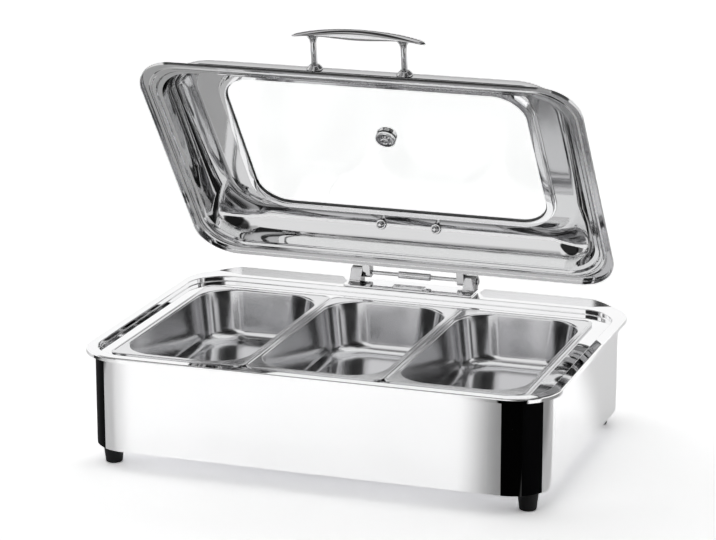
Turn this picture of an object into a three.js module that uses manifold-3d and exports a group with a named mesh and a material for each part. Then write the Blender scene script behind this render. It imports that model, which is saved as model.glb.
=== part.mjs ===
// Electric chafing dish: a countertop cooker with a hinged lid that has a glass window,
// a steel housing on four rubber feet, a heated water pan and three lift-out food pans.
// Millimetres, +Z up, +X along the length, +Y to the hinge side. The lid is drawn open.
import * as THREE from 'three';
import { mergeVertices } from 'three/addons/utils/BufferGeometryUtils.js';
import Module from 'manifold-3d';

const wasm = await Module();
wasm.setup();

// Driving sizes of the whole dish
const housingLength = 582;
const housingDepth = 404;
const housingCorner = 50;
const wallHeight = 121; // underside of the housing to the top of the food pans' flanges
const footHeight = 24.5;
const rimOverhang = 11;
const openDegrees = 52.6; // how far the lid stands open
const sheet = 1; // steel sheet of the housing, the top frame and the lid
const seat = 0.3; // gap between two pieces that touch
const overrun = 3; // how far a cutting tool runs past the piece that it cuts

// Faceting, as counts
const cornerSteps = 6;
const panCornerSteps = 5;
const roundSides = 16;
const smallSides = 12;

// Levels
const underside = footHeight + seat;
const panLevel = footHeight + wallHeight;

// Food pans: three third-size pans side by side
const panCount = 3;
const panGap = 0.6;
const panSideMargin = 27.3; // from the outside of the housing in to the pans
const panFrontMargin = 18;
const panRearMargin = 61;
const panDepth = 65;
const panSheet = 0.8;
const panFlangeSide = 8.6;
const panFlangeEnd = 10.4;
const panCorner = 12;
const panMouthCorner = 46;
const panEdgeDrop = 2.6;
const panEdgeRound = 0.9;
const panBead = 3.2;
const panBeadRise = 0.6;
const panMouthRound = 2.4;
const panTaper = 7;
const panFloorRound = 14;

// Top frame: rolled rim, recess for the lid, ledge for the pans, deck for the hinge
const rimRise = 2.5;
const rimLipHeight = 6;
const rimRoll = 2.2;
const recessSideBand = 14;
const recessFrontBand = 13.5;
const deckDepth = 33.5;
const recessCorner = 49;
const recessRound = 1;
const ledgeUnderSide = 5; // how far the ledge reaches in under the pans' flanges
const ledgeUnderEnd = 7;

// Upstand along the back of the rim, left out where the hinge stands
const lipHeight = 5.5;
const lipSheet = 1.2;
const lipSink = 0.4;
const lipGap = 4; // from the hinge's base plate to the upstand
const lipRamp = 6;
const lipEndDegrees = 58;
const lipFadeDegrees = 16;
const lipSteps = 8;

// Water pan
const waterSheet = 0.9;
const waterDepth = 92;
const waterTaper = 5;
const waterMouthGap = 0.7;
const waterMouthRound = 3;
const waterFloorRound = 14;
const waterMouthCorner = 42;

// Corner posts
const postHalfDegrees = 16;
const postWingDegrees = 7;
const postDepth = 4.1;

// Bottom cover
const coverWall = 12;
const coverRound = 2;
const ventCount = 9;
const ventPitch = 26;
const ventWidth = 5;
const ventLength = 44;
const ventRowInset = 110;

// Feet
const footSideInset = 25;
const footEndInset = 33;
const footTopRadius = 13.5;
const footBottomRadius = 10.5;
const footRound = 1.6;
const footFlange = 3;
const footRecessRadius = 5;
const footRecessDepth = 9;

// Heating element and what holds it under the water pan
const tubeRadius = 4;
const elementEndInset = 73.7;
const elementRowPitch = 52;
const elementRows = 4;
const elementTail = 62;
const elementSteps = 64;
const elementArcSteps = 6;
const clampWidth = 22;
const clampSheet = 1.5;
const clampInset = 70;
const clampFoot = 14;
const clampEdge = 9;
const reflectorEndInset = 48.7;
const reflectorSideInset = 37.5;
const reflectorRise = 6;
const reflectorEdge = 12;
const cutoutRadius = 8;
const cutoutHeight = 7;
const cutoutFlange = 10.5;
const cutoutFlangeHeight = 1.5;

// Controls and inlet on the rear panel
const controlLevel = 62; // above the underside of the housing
const knobX = -150;
const knobRadius = 19;
const knobTopRadius = 16;
const knobDepth = 15;
const knobRound = 1.5;
const knobGap = 1.2;
const knobWall = 2.5;
const knobHub = 5.5;
const gripCount = 14;
const gripRadius = 1.6;
const spindleRadius = 3;
const thermostatWidth = 38;
const thermostatHeight = 34;
const thermostatDepth = 26;
const thermostatNeck = 6;
const thermostatNeckDepth = 3;
const lampX = -96;
const lampRadius = 5;
const lampBezel = 7;
const lampBezelHeight = 2;
const lampBody = 4.6;
const lampLength = 18;
const inletX = 150;
const inletWidth = 27;
const inletHeight = 19.6;
const inletEarWidth = 48;
const inletEarHeight = 24;
const inletPlate = 3;
const inletDepth = 26;
const inletWall = 2;
const inletRecess = 17;
const inletChamfer = 5;
const inletPinWidth = 2;
const inletPinHeight = 4;
const inletPinPitch = 7;
const inletPinDrop = 3.4;
const inletPinSetback = 5.2;
const blockLength = 46;
const blockWidth = 16;
const blockHeight = 12;
const blockStep = 4;
const blockX = 60;
const blockInset = 34;

// Hinge
const pivotSetback = 15; // behind the housing
const pivotRise = 15;
const shaftRadius = 2.5;
const boreGap = 0.3;
const postInner = 70.6;
const postWidth = 15.4;
const postEyeRadius = 8;
const postFootFront = 18;
const postFootRear = 4;
const armGap = 0.8; // between an arm and its post
const armWidth = 9.8;
const armEyeRadius = 7;
const armDepth = 11;
const armTip = 3;
const shaftHead = 4.4;
const shaftHeadDepth = 2;
const basePlateEdge = 2; // beyond the posts
const basePlateSheet = 2;
const basePlateFront = 2.5;
const centrePlateHalf = 22;
const centrePlateDepth = 14;
const centrePlateFront = 3;
const sleeveHalf = 22;
const sleeveRadius = 4.6;
const lidPlateEdge = 1.2; // beyond the arms
const lidPlateLength = 20;
const lidPlateSheet = 2.5;
const boltX = 37.5;
const boltDegrees = 57;
const boltRadius = 2.5;
const boltHeadRadius = 5;
const boltHeadHeight = 3;
const capNutRadius = 4.6;
const capNutHeight = 6.5;
const washerRadius = 6.6;
const washerHeight = 1.2;

// Lid
const lidSideGap = 3.5;
const lidFrontGap = 1.2;
const lidRearGap = 2.3;
const lidEdge = 5.8;
const lidRoll = 1.6;
const lidCorner = 50;
const domeCorner = 56;
const lidFlange = 15;
const lidBeadRun = 1.5;
const lidBeadRise = 2.5;
const lidShoulder = 21;
const domeRun = 31;
const domeRise = 41.5;
const domeSteps = 6;
const windowSideInset = 88.5;
const windowFrontInset = 67.5;
const windowCorner = 40;
const windowRearInset = 65;

// Window: seal, glass and retaining frame, as offsets outside the window's edge
const sealSheet = 1.2;
const sealInside = 0.6;
const sealOutside = 8;
const glassSheet = 4;
const glassOutside = 7.6;
const frameInside = 0.8;
const frameWall = 8.2;
const frameFlange = 12.4;
const frameSheet = 1;

// Steam vent in the glass
const ventX = 4;
const ventInset = 212.7;
const ventBore = 3.2;
const ventTube = 5.6;
const ventRadius = 13;
const ventRound = 1.2;
const ventCapHeight = 6;
const ventNutHeight = 4;
const ventCollarRadius = 9.5;
const ventCollarHeight = 2.2;
const ventMiddleLift = 2.4;

// Handle
const handleX = 58;
const handleDegrees = 36.6;
const handleFootRadius = 10;
const handleFootTop = 6.6;
const handleFootHeight = 5.4;
const postRadius = 3.7;
const postFlareRadius = 8.4;
const postFlareHeight = 10;
const barHalf = 86;
const barEndTop = 42.6;
const barArch = 11.2;
const barEndDepth = 2.5;
const barBelly = 10.3;
const bellyPower = 2.3;
const barHalfWidth = 9.5;
const barTaperShare = 0.5;
const barStations = 22;
const barSides = 12;
const handleScrewRadius = 2.2;
const handleScrewHead = 4.4;
const handleScrewHeadHeight = 2.4;

// Sizes that follow from those above
const housingHalfX = housingLength / 2;
const housingHalfY = housingDepth / 2;
const rimHalfX = housingHalfX + rimOverhang;
const rimHalfY = housingHalfY + rimOverhang;
const rimCorner = housingCorner + rimOverhang;
const rimTop = panLevel + rimRise;
const ledgeTop = panLevel - panEdgeDrop - seat - waterSheet - seat;
const ledgeBottom = ledgeTop - sheet;
const recessHalfX = rimHalfX - recessSideBand;
const recessFront = -rimHalfY + recessFrontBand;
const recessRear = rimHalfY - deckDepth;
const panPitch = (housingLength - 2 * panSideMargin + panGap) / panCount;
const panLength = housingDepth - panFrontMargin - panRearMargin;
const panCentreY = (panFrontMargin - panRearMargin) / 2;
const pansHalfX = (panCount * panPitch - panGap) / 2;
const pansHalfY = panLength / 2;
const mouthHalfX = pansHalfX - ledgeUnderSide;
const mouthHalfY = pansHalfY - ledgeUnderEnd;
const controlZ = underside + controlLevel;
const panelTop = rimTop - sheet - seat;
const footX = housingHalfX - footSideInset;
const footY = housingHalfY - footEndInset;
const pivotY = housingHalfY + pivotSetback;
const pivotZ = panLevel + pivotRise;
const postOuter = postInner + postWidth;
const armOuter = postInner - armGap;
const armInner = armOuter - armWidth;
const basePlateHalf = postOuter + basePlateEdge;
const lidPlateHalf = armOuter + lidPlateEdge;
const deckSeat = rimTop + seat;

function radians(degrees) {
  return THREE.MathUtils.degToRad(degrees);
}

// Materials

function finish(color, roughness, metalness, extra = {}) {
  return new THREE.MeshStandardMaterial({ color, roughness, metalness, ...extra });
}

const mirrorSteel = () => finish('#d9dadb', 0.08, 1);
const satinSteel = () => finish('#b9babb', 0.3, 1);
const blackPlastic = () => finish('#0d0d0e', 0.35, 0);
const rubber = () => finish('#111112', 0.75, 0);
const clearGlass = () => finish('#eef4f3', 0.02, 0, { transparent: true, opacity: 0.2 });
const aluminium = () => finish('#c3c5c7', 0.4, 1);

// Meshes as solids, cuts and joins

function asSolid(geometry) {
  const bare = geometry.clone();
  bare.deleteAttribute('normal');
  bare.deleteAttribute('uv');
  const merged = mergeVertices(bare);
  return new wasm.Manifold(new wasm.Mesh({
    numProp: 3,
    vertProperties: new Float32Array(merged.attributes.position.array),
    triVerts: new Uint32Array(merged.index.array),
  }));
}

function asGeometry(solid) {
  const mesh = solid.getMesh();
  const geometry = new THREE.BufferGeometry();
  geometry.setAttribute('position', new THREE.BufferAttribute(new Float32Array(mesh.vertProperties), 3));
  geometry.setIndex(Array.from(mesh.triVerts));
  geometry.computeVertexNormals();
  return geometry;
}

function cut(geometry, tools) {
  let solid = asSolid(geometry);
  for (const tool of tools) solid = solid.subtract(asSolid(tool));
  return asGeometry(solid);
}

function join(geometry, others) {
  let solid = asSolid(geometry);
  for (const other of others) solid = solid.add(asSolid(other));
  return asGeometry(solid);
}

// Rounded rectangles and the lofts between them

// A ring of points round a rounded rectangle, anticlockwise seen from above.
function ring({ halfX, front, rear, corner, z }, steps = cornerSteps) {
  const points = [];
  const centres = [
    [halfX - corner, rear - corner],
    [-halfX + corner, rear - corner],
    [-halfX + corner, front + corner],
    [halfX - corner, front + corner],
  ];
  centres.forEach(([x, y], quarter) => {
    for (let i = 0; i <= steps; i += 1) {
      const angle = (quarter + i / steps) * Math.PI / 2;
      points.push(new THREE.Vector3(x + corner * Math.cos(angle), y + corner * Math.sin(angle), z));
    }
  });
  return points;
}

function signedVolume(points, faces) {
  let sum = 0;
  for (const [a, b, c] of faces) {
    sum += points[a].dot(new THREE.Vector3().crossVectors(points[b], points[c]));
  }
  return sum;
}

// A solid through a row of rings with equal counts. A closed loft joins its last ring
// to its first, as a frame does; an open one is capped at both ends.
function loft(rings, closed = false) {
  const count = rings[0].length;
  const points = rings.flat();
  const faces = [];
  const spans = closed ? rings.length : rings.length - 1;
  for (let r = 0; r < spans; r += 1) {
    const low = r * count;
    const high = ((r + 1) % rings.length) * count;
    for (let i = 0; i < count; i += 1) {
      const next = (i + 1) % count;
      faces.push([low + i, low + next, high + next], [low + i, high + next, high + i]);
    }
  }
  if (!closed) {
    for (const [start, flip] of [[0, true], [(rings.length - 1) * count, false]]) {
      const middle = points.length;
      const centre = new THREE.Vector3();
      for (let i = 0; i < count; i += 1) centre.add(points[start + i]);
      points.push(centre.divideScalar(count));
      for (let i = 0; i < count; i += 1) {
        const next = (i + 1) % count;
        faces.push(flip ? [middle, start + next, start + i] : [middle, start + i, start + next]);
      }
    }
  }
  if (signedVolume(points, faces) < 0) faces.forEach((face) => face.reverse());
  const geometry = new THREE.BufferGeometry();
  geometry.setAttribute('position', new THREE.Float32BufferAttribute(points.flatMap((p) => p.toArray()), 3));
  geometry.setIndex(faces.flat());
  geometry.computeVertexNormals();
  return geometry;
}

// Turned and extruded pieces

// A turned piece about Z from [radius, z] pairs, which may run either way round. A profile
// that starts off the axis is closed on itself.
function turned(profile, sides = roundSides) {
  const loop = profile[0][0] > 0 ? [...profile, profile[0]] : [...profile];
  let area = 0;
  profile.forEach(([radius, z], i) => {
    const [nextRadius, nextZ] = profile[(i + 1) % profile.length];
    area += radius * nextZ - nextRadius * z;
  });
  if (area < 0) loop.reverse();
  const points = loop.map(([radius, z]) => new THREE.Vector2(radius, z));
  return new THREE.LatheGeometry(points, sides).rotateX(Math.PI / 2);
}

function cylinder(radius, height, sides = roundSides) {
  return new THREE.CylinderGeometry(radius, radius, height, sides).rotateX(Math.PI / 2);
}

// A plate whose outline lies in the Y-Z plane, from x to x + width.
function sidePlate(shape, x, width, steps = smallSides) {
  const geometry = new THREE.ExtrudeGeometry(shape, {
    depth: width,
    bevelEnabled: false,
    curveSegments: steps,
  });
  const turn = new THREE.Matrix4().makeBasis(
    new THREE.Vector3(0, 1, 0),
    new THREE.Vector3(0, 0, 1),
    new THREE.Vector3(1, 0, 0),
  );
  return geometry.applyMatrix4(turn).translate(x, 0, 0);
}

function box(sizeX, sizeY, sizeZ) {
  return new THREE.BoxGeometry(sizeX, sizeY, sizeZ);
}

function place(name, geometry, material, parent, position = [0, 0, 0]) {
  const mesh = new THREE.Mesh(geometry, material);
  mesh.name = name;
  mesh.position.set(...position);
  parent.add(mesh);
  return mesh;
}

const dish = new THREE.Group();
const base = new THREE.Group();
dish.add(base);

// Housing: four sheet panels held between four corner posts

const corners = [
  { name: 'rear_right', x: 1, y: 1, start: 0 },
  { name: 'rear_left', x: -1, y: 1, start: 90 },
  { name: 'front_left', x: -1, y: -1, start: 180 },
  { name: 'front_right', x: 1, y: -1, start: 270 },
];
const cornerX = housingHalfX - housingCorner;
const cornerY = housingHalfY - housingCorner;
const seatDegrees = THREE.MathUtils.radToDeg(seat / housingCorner);
const panelArcDegrees = 45 - postHalfDegrees - seatDegrees;

// Plan of a panel: a straight wall whose two ends turn round the corners as far as the posts.
function panelOutline(halfStraight, offset) {
  const inner = housingCorner - sheet;
  const first = radians(90 - panelArcDegrees);
  const last = radians(90 + panelArcDegrees);
  const shape = new THREE.Shape();
  shape.absarc(halfStraight, offset, housingCorner, first, Math.PI / 2, false);
  shape.absarc(-halfStraight, offset, housingCorner, Math.PI / 2, last, false);
  shape.absarc(-halfStraight, offset, inner, last, Math.PI / 2, true);
  shape.absarc(halfStraight, offset, inner, Math.PI / 2, first, true);
  return shape;
}

function panel(halfStraight, offset, quarterTurns) {
  const geometry = new THREE.ExtrudeGeometry(panelOutline(halfStraight, offset), {
    depth: panelTop - underside,
    bevelEnabled: false,
    curveSegments: cornerSteps,
  });
  return geometry.rotateZ(quarterTurns * Math.PI / 2).translate(0, 0, underside);
}

// Holes in the rear panel for the thermostat spindle, the lamp and the inlet.
function rearHoles() {
  const through = sheet + 2 * overrun;
  const wallY = housingHalfY - sheet / 2;
  const hole = (radius, x) => cylinder(radius, through).rotateX(Math.PI / 2).translate(x, wallY, controlZ);
  return [
    hole(thermostatNeck + seat, knobX),
    hole(lampBody + seat, lampX),
    box(inletWidth + 2 * seat, through, inletHeight + 2 * seat).translate(inletX, wallY, controlZ),
  ];
}

place('rear_panel', cut(panel(cornerX, cornerY, 0), rearHoles()), mirrorSteel(), base);
place('front_panel', panel(cornerX, cornerY, 2), mirrorSteel(), base);
place('left_panel', panel(cornerY, cornerX, 1), mirrorSteel(), base);
place('right_panel', panel(cornerY, cornerX, 3), mirrorSteel(), base);

// Plan of a post: its outer face is flush with the sheet, its wings reach in behind the panels.
function postOutline() {
  const step = housingCorner - sheet - seat;
  const deep = housingCorner - postDepth;
  const half = radians(postHalfDegrees);
  const wing = radians(postHalfDegrees + postWingDegrees);
  const shape = new THREE.Shape();
  shape.absarc(0, 0, housingCorner, -half, half, false);
  shape.absarc(0, 0, step, half, wing, false);
  shape.absarc(0, 0, deep, wing, -wing, true);
  shape.absarc(0, 0, step, -wing, -half, false);
  return shape;
}

for (const corner of corners) {
  const post = new THREE.ExtrudeGeometry(postOutline(), {
    depth: ledgeBottom - seat - underside,
    bevelEnabled: false,
    curveSegments: cornerSteps,
  });
  post.rotateZ(radians(corner.start + 45));
  const position = [corner.x * cornerX, corner.y * cornerY, underside];
  place(`corner_post_${corner.name}`, post, blackPlastic(), base, position);
}

// Bottom cover: a shallow tray inside the posts, slotted for air

const coverInset = postDepth + seat;

function coverRing(inset, z) {
  return ring({
    halfX: housingHalfX - coverInset - inset,
    front: -housingHalfY + coverInset + inset,
    rear: housingHalfY - coverInset - inset,
    corner: housingCorner - coverInset - inset,
    z,
  });
}

const ventRowY = housingHalfY - ventRowInset;

function bottomCover() {
  const floorTop = underside + sheet;
  const tray = loft([
    coverRing(coverRound + sheet, floorTop),
    coverRing(sheet, floorTop + coverRound),
    coverRing(sheet, underside + coverWall),
    coverRing(0, underside + coverWall),
    coverRing(0, underside + coverRound),
    coverRing(coverRound, underside),
  ]);
  const slots = [];
  for (const row of [-1, 1]) {
    for (let i = 0; i < ventCount; i += 1) {
      const x = (i - (ventCount - 1) / 2) * ventPitch;
      slots.push(box(ventWidth, ventLength, sheet + 2 * overrun).translate(x, row * ventRowY, floorTop));
    }
  }
  return cut(tray, slots);
}

place('bottom_cover', bottomCover(), satinSteel(), base);

// Feet: tapered rubber, screwed on from below through the recess

function foot() {
  return turned([
    [0, footHeight],
    [footTopRadius, footHeight],
    [footTopRadius, footHeight - footFlange],
    [footBottomRadius, footRound],
    [footBottomRadius - footRound, 0],
    [footRecessRadius, 0],
    [footRecessRadius, footRecessDepth],
    [0, footRecessDepth],
  ]);
}

for (const corner of corners) {
  place(`foot_${corner.name}`, foot(), rubber(), base, [corner.x * footX, corner.y * footY, 0]);
}

// Top frame: one pressing with a rolled rim, the recess, the ledge and the rear deck

function rimRing(inset, z) {
  return ring({
    halfX: rimHalfX - inset,
    front: -rimHalfY + inset,
    rear: rimHalfY - inset,
    corner: rimCorner - inset,
    z,
  });
}

function recessRing(inset, z) {
  return ring({
    halfX: recessHalfX - inset,
    front: recessFront + inset,
    rear: recessRear - inset,
    corner: recessCorner - inset,
    z,
  });
}

function mouthRing(inset, z) {
  return ring({
    halfX: mouthHalfX - inset,
    front: panCentreY - mouthHalfY + inset,
    rear: panCentreY + mouthHalfY - inset,
    corner: waterMouthCorner,
    z,
  });
}

const lipStart = basePlateHalf + lipGap;

// One half of the upstand: it rises beside the hinge, follows the rim's back edge and
// fades into the deck on the corner. The other half mirrors it.
function rimLip(side) {
  const stations = [];
  const endX = rimHalfX - rimCorner;
  const straight = [
    [lipStart, 0],
    [lipStart + lipRamp, 1],
    [endX, 1],
  ];
  for (const [x, share] of straight) stations.push({ x, y: rimHalfY, nx: 0, ny: 1, share });
  for (let i = 1; i <= lipSteps; i += 1) {
    const degrees = 90 - (90 - lipEndDegrees) * i / lipSteps;
    const nx = Math.cos(radians(degrees));
    const ny = Math.sin(radians(degrees));
    const share = Math.min(1, (degrees - lipEndDegrees) / lipFadeDegrees);
    stations.push({ x: endX + rimCorner * nx, y: rimHalfY - rimCorner + rimCorner * ny, nx, ny, share });
  }
  const outerInset = rimRoll;
  const innerInset = rimRoll + lipSheet;
  const low = rimTop - lipSink;
  const rings = stations.map(({ x, y, nx, ny, share }) => {
    const high = rimTop + lipSink / 2 + (lipHeight - lipSink / 2) * share;
    const corner = (inset, z) => new THREE.Vector3(side * (x - nx * inset), y - ny * inset, z);
    return [
      corner(outerInset, low),
      corner(innerInset, low),
      corner(innerInset, high),
      corner(outerInset, high),
    ];
  });
  return loft(rings);
}

function topFrame() {
  const rollSlope = rimRoll * (1 - Math.SQRT1_2);
  const pressing = loft([
    rimRing(0, rimTop - rimLipHeight),
    rimRing(0, rimTop - rimRoll),
    rimRing(rollSlope, rimTop - rollSlope),
    rimRing(rimRoll, rimTop),
    recessRing(-recessRound, rimTop),
    recessRing(0, rimTop - recessRound),
    recessRing(0, ledgeTop + recessRound),
    recessRing(recessRound, ledgeTop),
    mouthRing(0, ledgeTop),
    mouthRing(0, ledgeBottom),
    recessRing(-sheet / 2, ledgeBottom),
    recessRing(-sheet, ledgeBottom + sheet / 2),
    recessRing(-sheet, rimTop - sheet),
    rimRing(rimRoll, rimTop - sheet),
    rimRing(sheet, rimTop - rimRoll),
    rimRing(sheet, rimTop - rimLipHeight),
  ], true);
  return join(pressing, [rimLip(1), rimLip(-1)]);
}

place('top_frame', topFrame(), mirrorSteel(), base);

// Water pan: a deep pan hung in the frame, its flange between the ledge and the food pans

const waterMouthX = mouthHalfX - waterMouthGap;
const waterMouthY = mouthHalfY - waterMouthGap;
const waterFloor = panLevel - panEdgeDrop - seat - waterDepth;
const waterFlangeTop = panLevel - panEdgeDrop - seat;

function waterRing(inset, z) {
  return ring({
    halfX: waterMouthX - inset,
    front: panCentreY - waterMouthY + inset,
    rear: panCentreY + waterMouthY - inset,
    corner: waterMouthCorner,
    z,
  });
}

function waterFlangeRing(z) {
  return ring({
    halfX: pansHalfX,
    front: panCentreY - pansHalfY,
    rear: panCentreY + pansHalfY,
    corner: panCorner,
    z,
  });
}

function waterPan() {
  const wall = waterSheet;
  const roundIn = waterFloorRound * (1 - Math.SQRT1_2);
  return loft([
    waterRing(wall + waterTaper + waterFloorRound, waterFloor),
    waterRing(wall + waterTaper + roundIn, waterFloor + roundIn),
    waterRing(wall + waterTaper, waterFloor + waterFloorRound),
    waterRing(wall, waterFlangeTop - waterMouthRound),
    waterRing(wall - waterMouthRound, waterFlangeTop),
    waterFlangeRing(waterFlangeTop),
    waterFlangeRing(waterFlangeTop - wall),
    waterRing(-waterMouthGap / 3, waterFlangeTop - wall),
    waterRing(0, waterFlangeTop - wall - waterMouthRound),
    waterRing(waterTaper, waterFloor + waterFloorRound),
    waterRing(waterTaper + roundIn, waterFloor + roundIn - wall / 2),
    waterRing(waterTaper + waterFloorRound, waterFloor - wall),
  ]);
}

place('water_pan', waterPan(), satinSteel(), base);

// Heating element: one sheathed tube in a serpentine under the water pan's floor

const elementHalfLength = pansHalfX - elementEndInset;
const elementZ = waterFloor - waterSheet - seat - tubeRadius;
const elementSpan = (elementRows - 1) * elementRowPitch;

function elementRoute() {
  const points = [];
  const bend = elementRowPitch / 2;
  const run = elementHalfLength - bend;
  points.push(new THREE.Vector3(-elementHalfLength - tubeRadius, elementSpan / 2 + elementTail, 0));
  points.push(new THREE.Vector3(-elementHalfLength - tubeRadius, elementSpan / 2 + bend, 0));
  for (let row = 0; row < elementRows; row += 1) {
    const y = elementSpan / 2 - row * elementRowPitch;
    const side = row % 2 === 0 ? 1 : -1;
    points.push(new THREE.Vector3(-side * run, y, 0), new THREE.Vector3(side * run, y, 0));
    if (row < elementRows - 1) {
      for (let i = 1; i < elementArcSteps; i += 1) {
        const angle = Math.PI * i / elementArcSteps;
        const x = side * (run + bend * Math.sin(angle));
        points.push(new THREE.Vector3(x, y - bend + bend * Math.cos(angle), 0));
      }
    }
  }
  return new THREE.CatmullRomCurve3(points, false, 'centripetal');
}

function tubeSection(radius, sides) {
  const points = [];
  for (let i = 0; i < sides; i += 1) {
    const angle = i / sides * 2 * Math.PI;
    points.push(new THREE.Vector2(radius * Math.cos(angle), radius * Math.sin(angle)));
  }
  return new THREE.Shape(points);
}

const elementTube = new THREE.ExtrudeGeometry(tubeSection(tubeRadius, 8), {
  steps: elementSteps,
  extrudePath: elementRoute(),
  bevelEnabled: false,
});
place('heating_element', elementTube, satinSteel(), base, [0, panCentreY, elementZ]);

// Clamps: hat-shaped straps under the tube, welded to the water pan's floor at both ends.
function elementClamp() {
  const top = waterFloor - waterSheet - seat;
  const low = elementZ - tubeRadius - seat;
  const reach = elementSpan / 2 + tubeRadius + clampEdge;
  const shape = new THREE.Shape();
  shape.moveTo(-reach - clampFoot, top);
  shape.lineTo(-reach - clampFoot, top - clampSheet);
  shape.lineTo(-reach - clampSheet, top - clampSheet);
  shape.lineTo(-reach - clampSheet, low - clampSheet);
  shape.lineTo(reach + clampSheet, low - clampSheet);
  shape.lineTo(reach + clampSheet, top - clampSheet);
  shape.lineTo(reach + clampFoot, top - clampSheet);
  shape.lineTo(reach + clampFoot, top);
  shape.lineTo(reach, top);
  shape.lineTo(reach, low);
  shape.lineTo(-reach, low);
  shape.lineTo(-reach, top);
  return sidePlate(shape, -clampWidth / 2, clampWidth);
}

const clampX = elementHalfLength - clampInset;
place('element_clamp_left', elementClamp(), satinSteel(), base, [-clampX, panCentreY, 0]);
place('element_clamp_right', elementClamp(), satinSteel(), base, [clampX, panCentreY, 0]);

// Heat reflector: a raised aluminium tray on the bottom cover
const coverFloor = underside + sheet + seat;
const reflectorHalfLength = pansHalfX - reflectorEndInset;
const reflectorHalfDepth = pansHalfY - reflectorSideInset;

function reflectorRing(inset, z) {
  return ring({
    halfX: reflectorHalfLength - inset,
    front: -reflectorHalfDepth + inset,
    rear: reflectorHalfDepth - inset,
    corner: reflectorEdge * 2 - inset / 2,
    z,
  }, panCornerSteps);
}

const reflector = loft([
  reflectorRing(reflectorEdge + reflectorRise, reflectorRise + sheet),
  reflectorRing(reflectorEdge, sheet),
  reflectorRing(0, sheet),
  reflectorRing(0, 0),
  reflectorRing(reflectorEdge + sheet / 2, 0),
  reflectorRing(reflectorEdge + reflectorRise + sheet / 2, reflectorRise),
]);
place('heat_reflector', reflector, aluminium(), base, [0, panCentreY, coverFloor]);

const cutout = turned([
  [0, 0],
  [cutoutFlange, 0],
  [cutoutFlange, -cutoutFlangeHeight],
  [cutoutRadius, -cutoutFlangeHeight],
  [cutoutRadius, -cutoutHeight],
  [0, -cutoutHeight],
]);
place('thermal_cutout', cutout, blackPlastic(), base, [0, panCentreY, waterFloor - waterSheet - seat]);

// Controls on the rear panel: thermostat with its knob, pilot lamp, mains inlet

const panelInner = housingHalfY - sheet - seat;
const panelOuter = housingHalfY + seat;

function thermostatBody() {
  const body = box(thermostatWidth, thermostatDepth, thermostatHeight).translate(0, -thermostatDepth / 2, 0);
  const neckLength = thermostatNeckDepth + overrun;
  const neck = cylinder(thermostatNeck, neckLength).rotateX(Math.PI / 2);
  neck.translate(0, thermostatNeckDepth - neckLength / 2, 0);
  const bore = cylinder(spindleRadius + boreGap, thermostatDepth).rotateX(Math.PI / 2);
  return cut(join(body, [neck]), [bore]);
}

place('thermostat_body', thermostatBody(), blackPlastic(), base, [knobX, panelInner, controlZ]);

const knobGroup = new THREE.Group();
knobGroup.position.set(knobX, panelInner, controlZ);
base.add(knobGroup);

const knobStart = thermostatNeckDepth + knobGap;
const spindleTail = thermostatDepth / 2 - seat;
const spindleTip = knobStart + knobDepth - knobWall - seat;

// The hub reaches down round the spindle; the skirt is hollow and gripped round its rim.
function knob() {
  const top = knobStart + knobDepth;
  const profile = turned([
    [0, top],
    [knobTopRadius - knobRound, top],
    [knobTopRadius, top - knobRound],
    [knobRadius, knobStart],
    [knobRadius - knobWall, knobStart],
    [knobTopRadius - knobWall, top - knobWall],
    [knobHub, top - knobWall],
    [knobHub, knobStart + knobGap],
    [spindleRadius + seat, knobStart + knobGap],
    [spindleRadius + seat, top - knobWall],
    [0, top - knobWall],
  ], gripCount * 2);
  const flutes = [];
  for (let i = 0; i < gripCount; i += 1) {
    const angle = i / gripCount * 2 * Math.PI;
    const flute = cylinder(gripRadius, knobDepth + 2 * overrun, 8);
    const reach = knobRadius + gripRadius / 3;
    flute.translate(reach * Math.cos(angle), reach * Math.sin(angle), knobStart + knobDepth / 2);
    flutes.push(flute);
  }
  return cut(profile, flutes).rotateX(-Math.PI / 2);
}

place('thermostat_knob', knob(), blackPlastic(), knobGroup);
const spindleLength = spindleTail + spindleTip;
const spindle = cylinder(spindleRadius, spindleLength).rotateX(Math.PI / 2);
spindle.translate(0, spindleTip - spindleLength / 2, 0);
place('thermostat_spindle', spindle, satinSteel(), knobGroup);

const lampTop = lampBezelHeight + lampRadius;
const lamp = turned([
  [0, -lampLength],
  [lampBody, -lampLength],
  [lampBody, 0],
  [lampBezel, 0],
  [lampBezel, lampBezelHeight],
  [lampRadius, lampBezelHeight],
  [lampRadius * Math.cos(Math.PI / 6), lampBezelHeight + lampRadius / 2],
  [lampRadius / 2, lampTop - lampRadius * (1 - Math.cos(Math.PI / 6))],
  [0, lampTop],
], roundSides).rotateX(-Math.PI / 2);
place('indicator_lamp', lamp, finish('#b3341f', 0.25, 0), base, [lampX, panelOuter, controlZ]);

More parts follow.
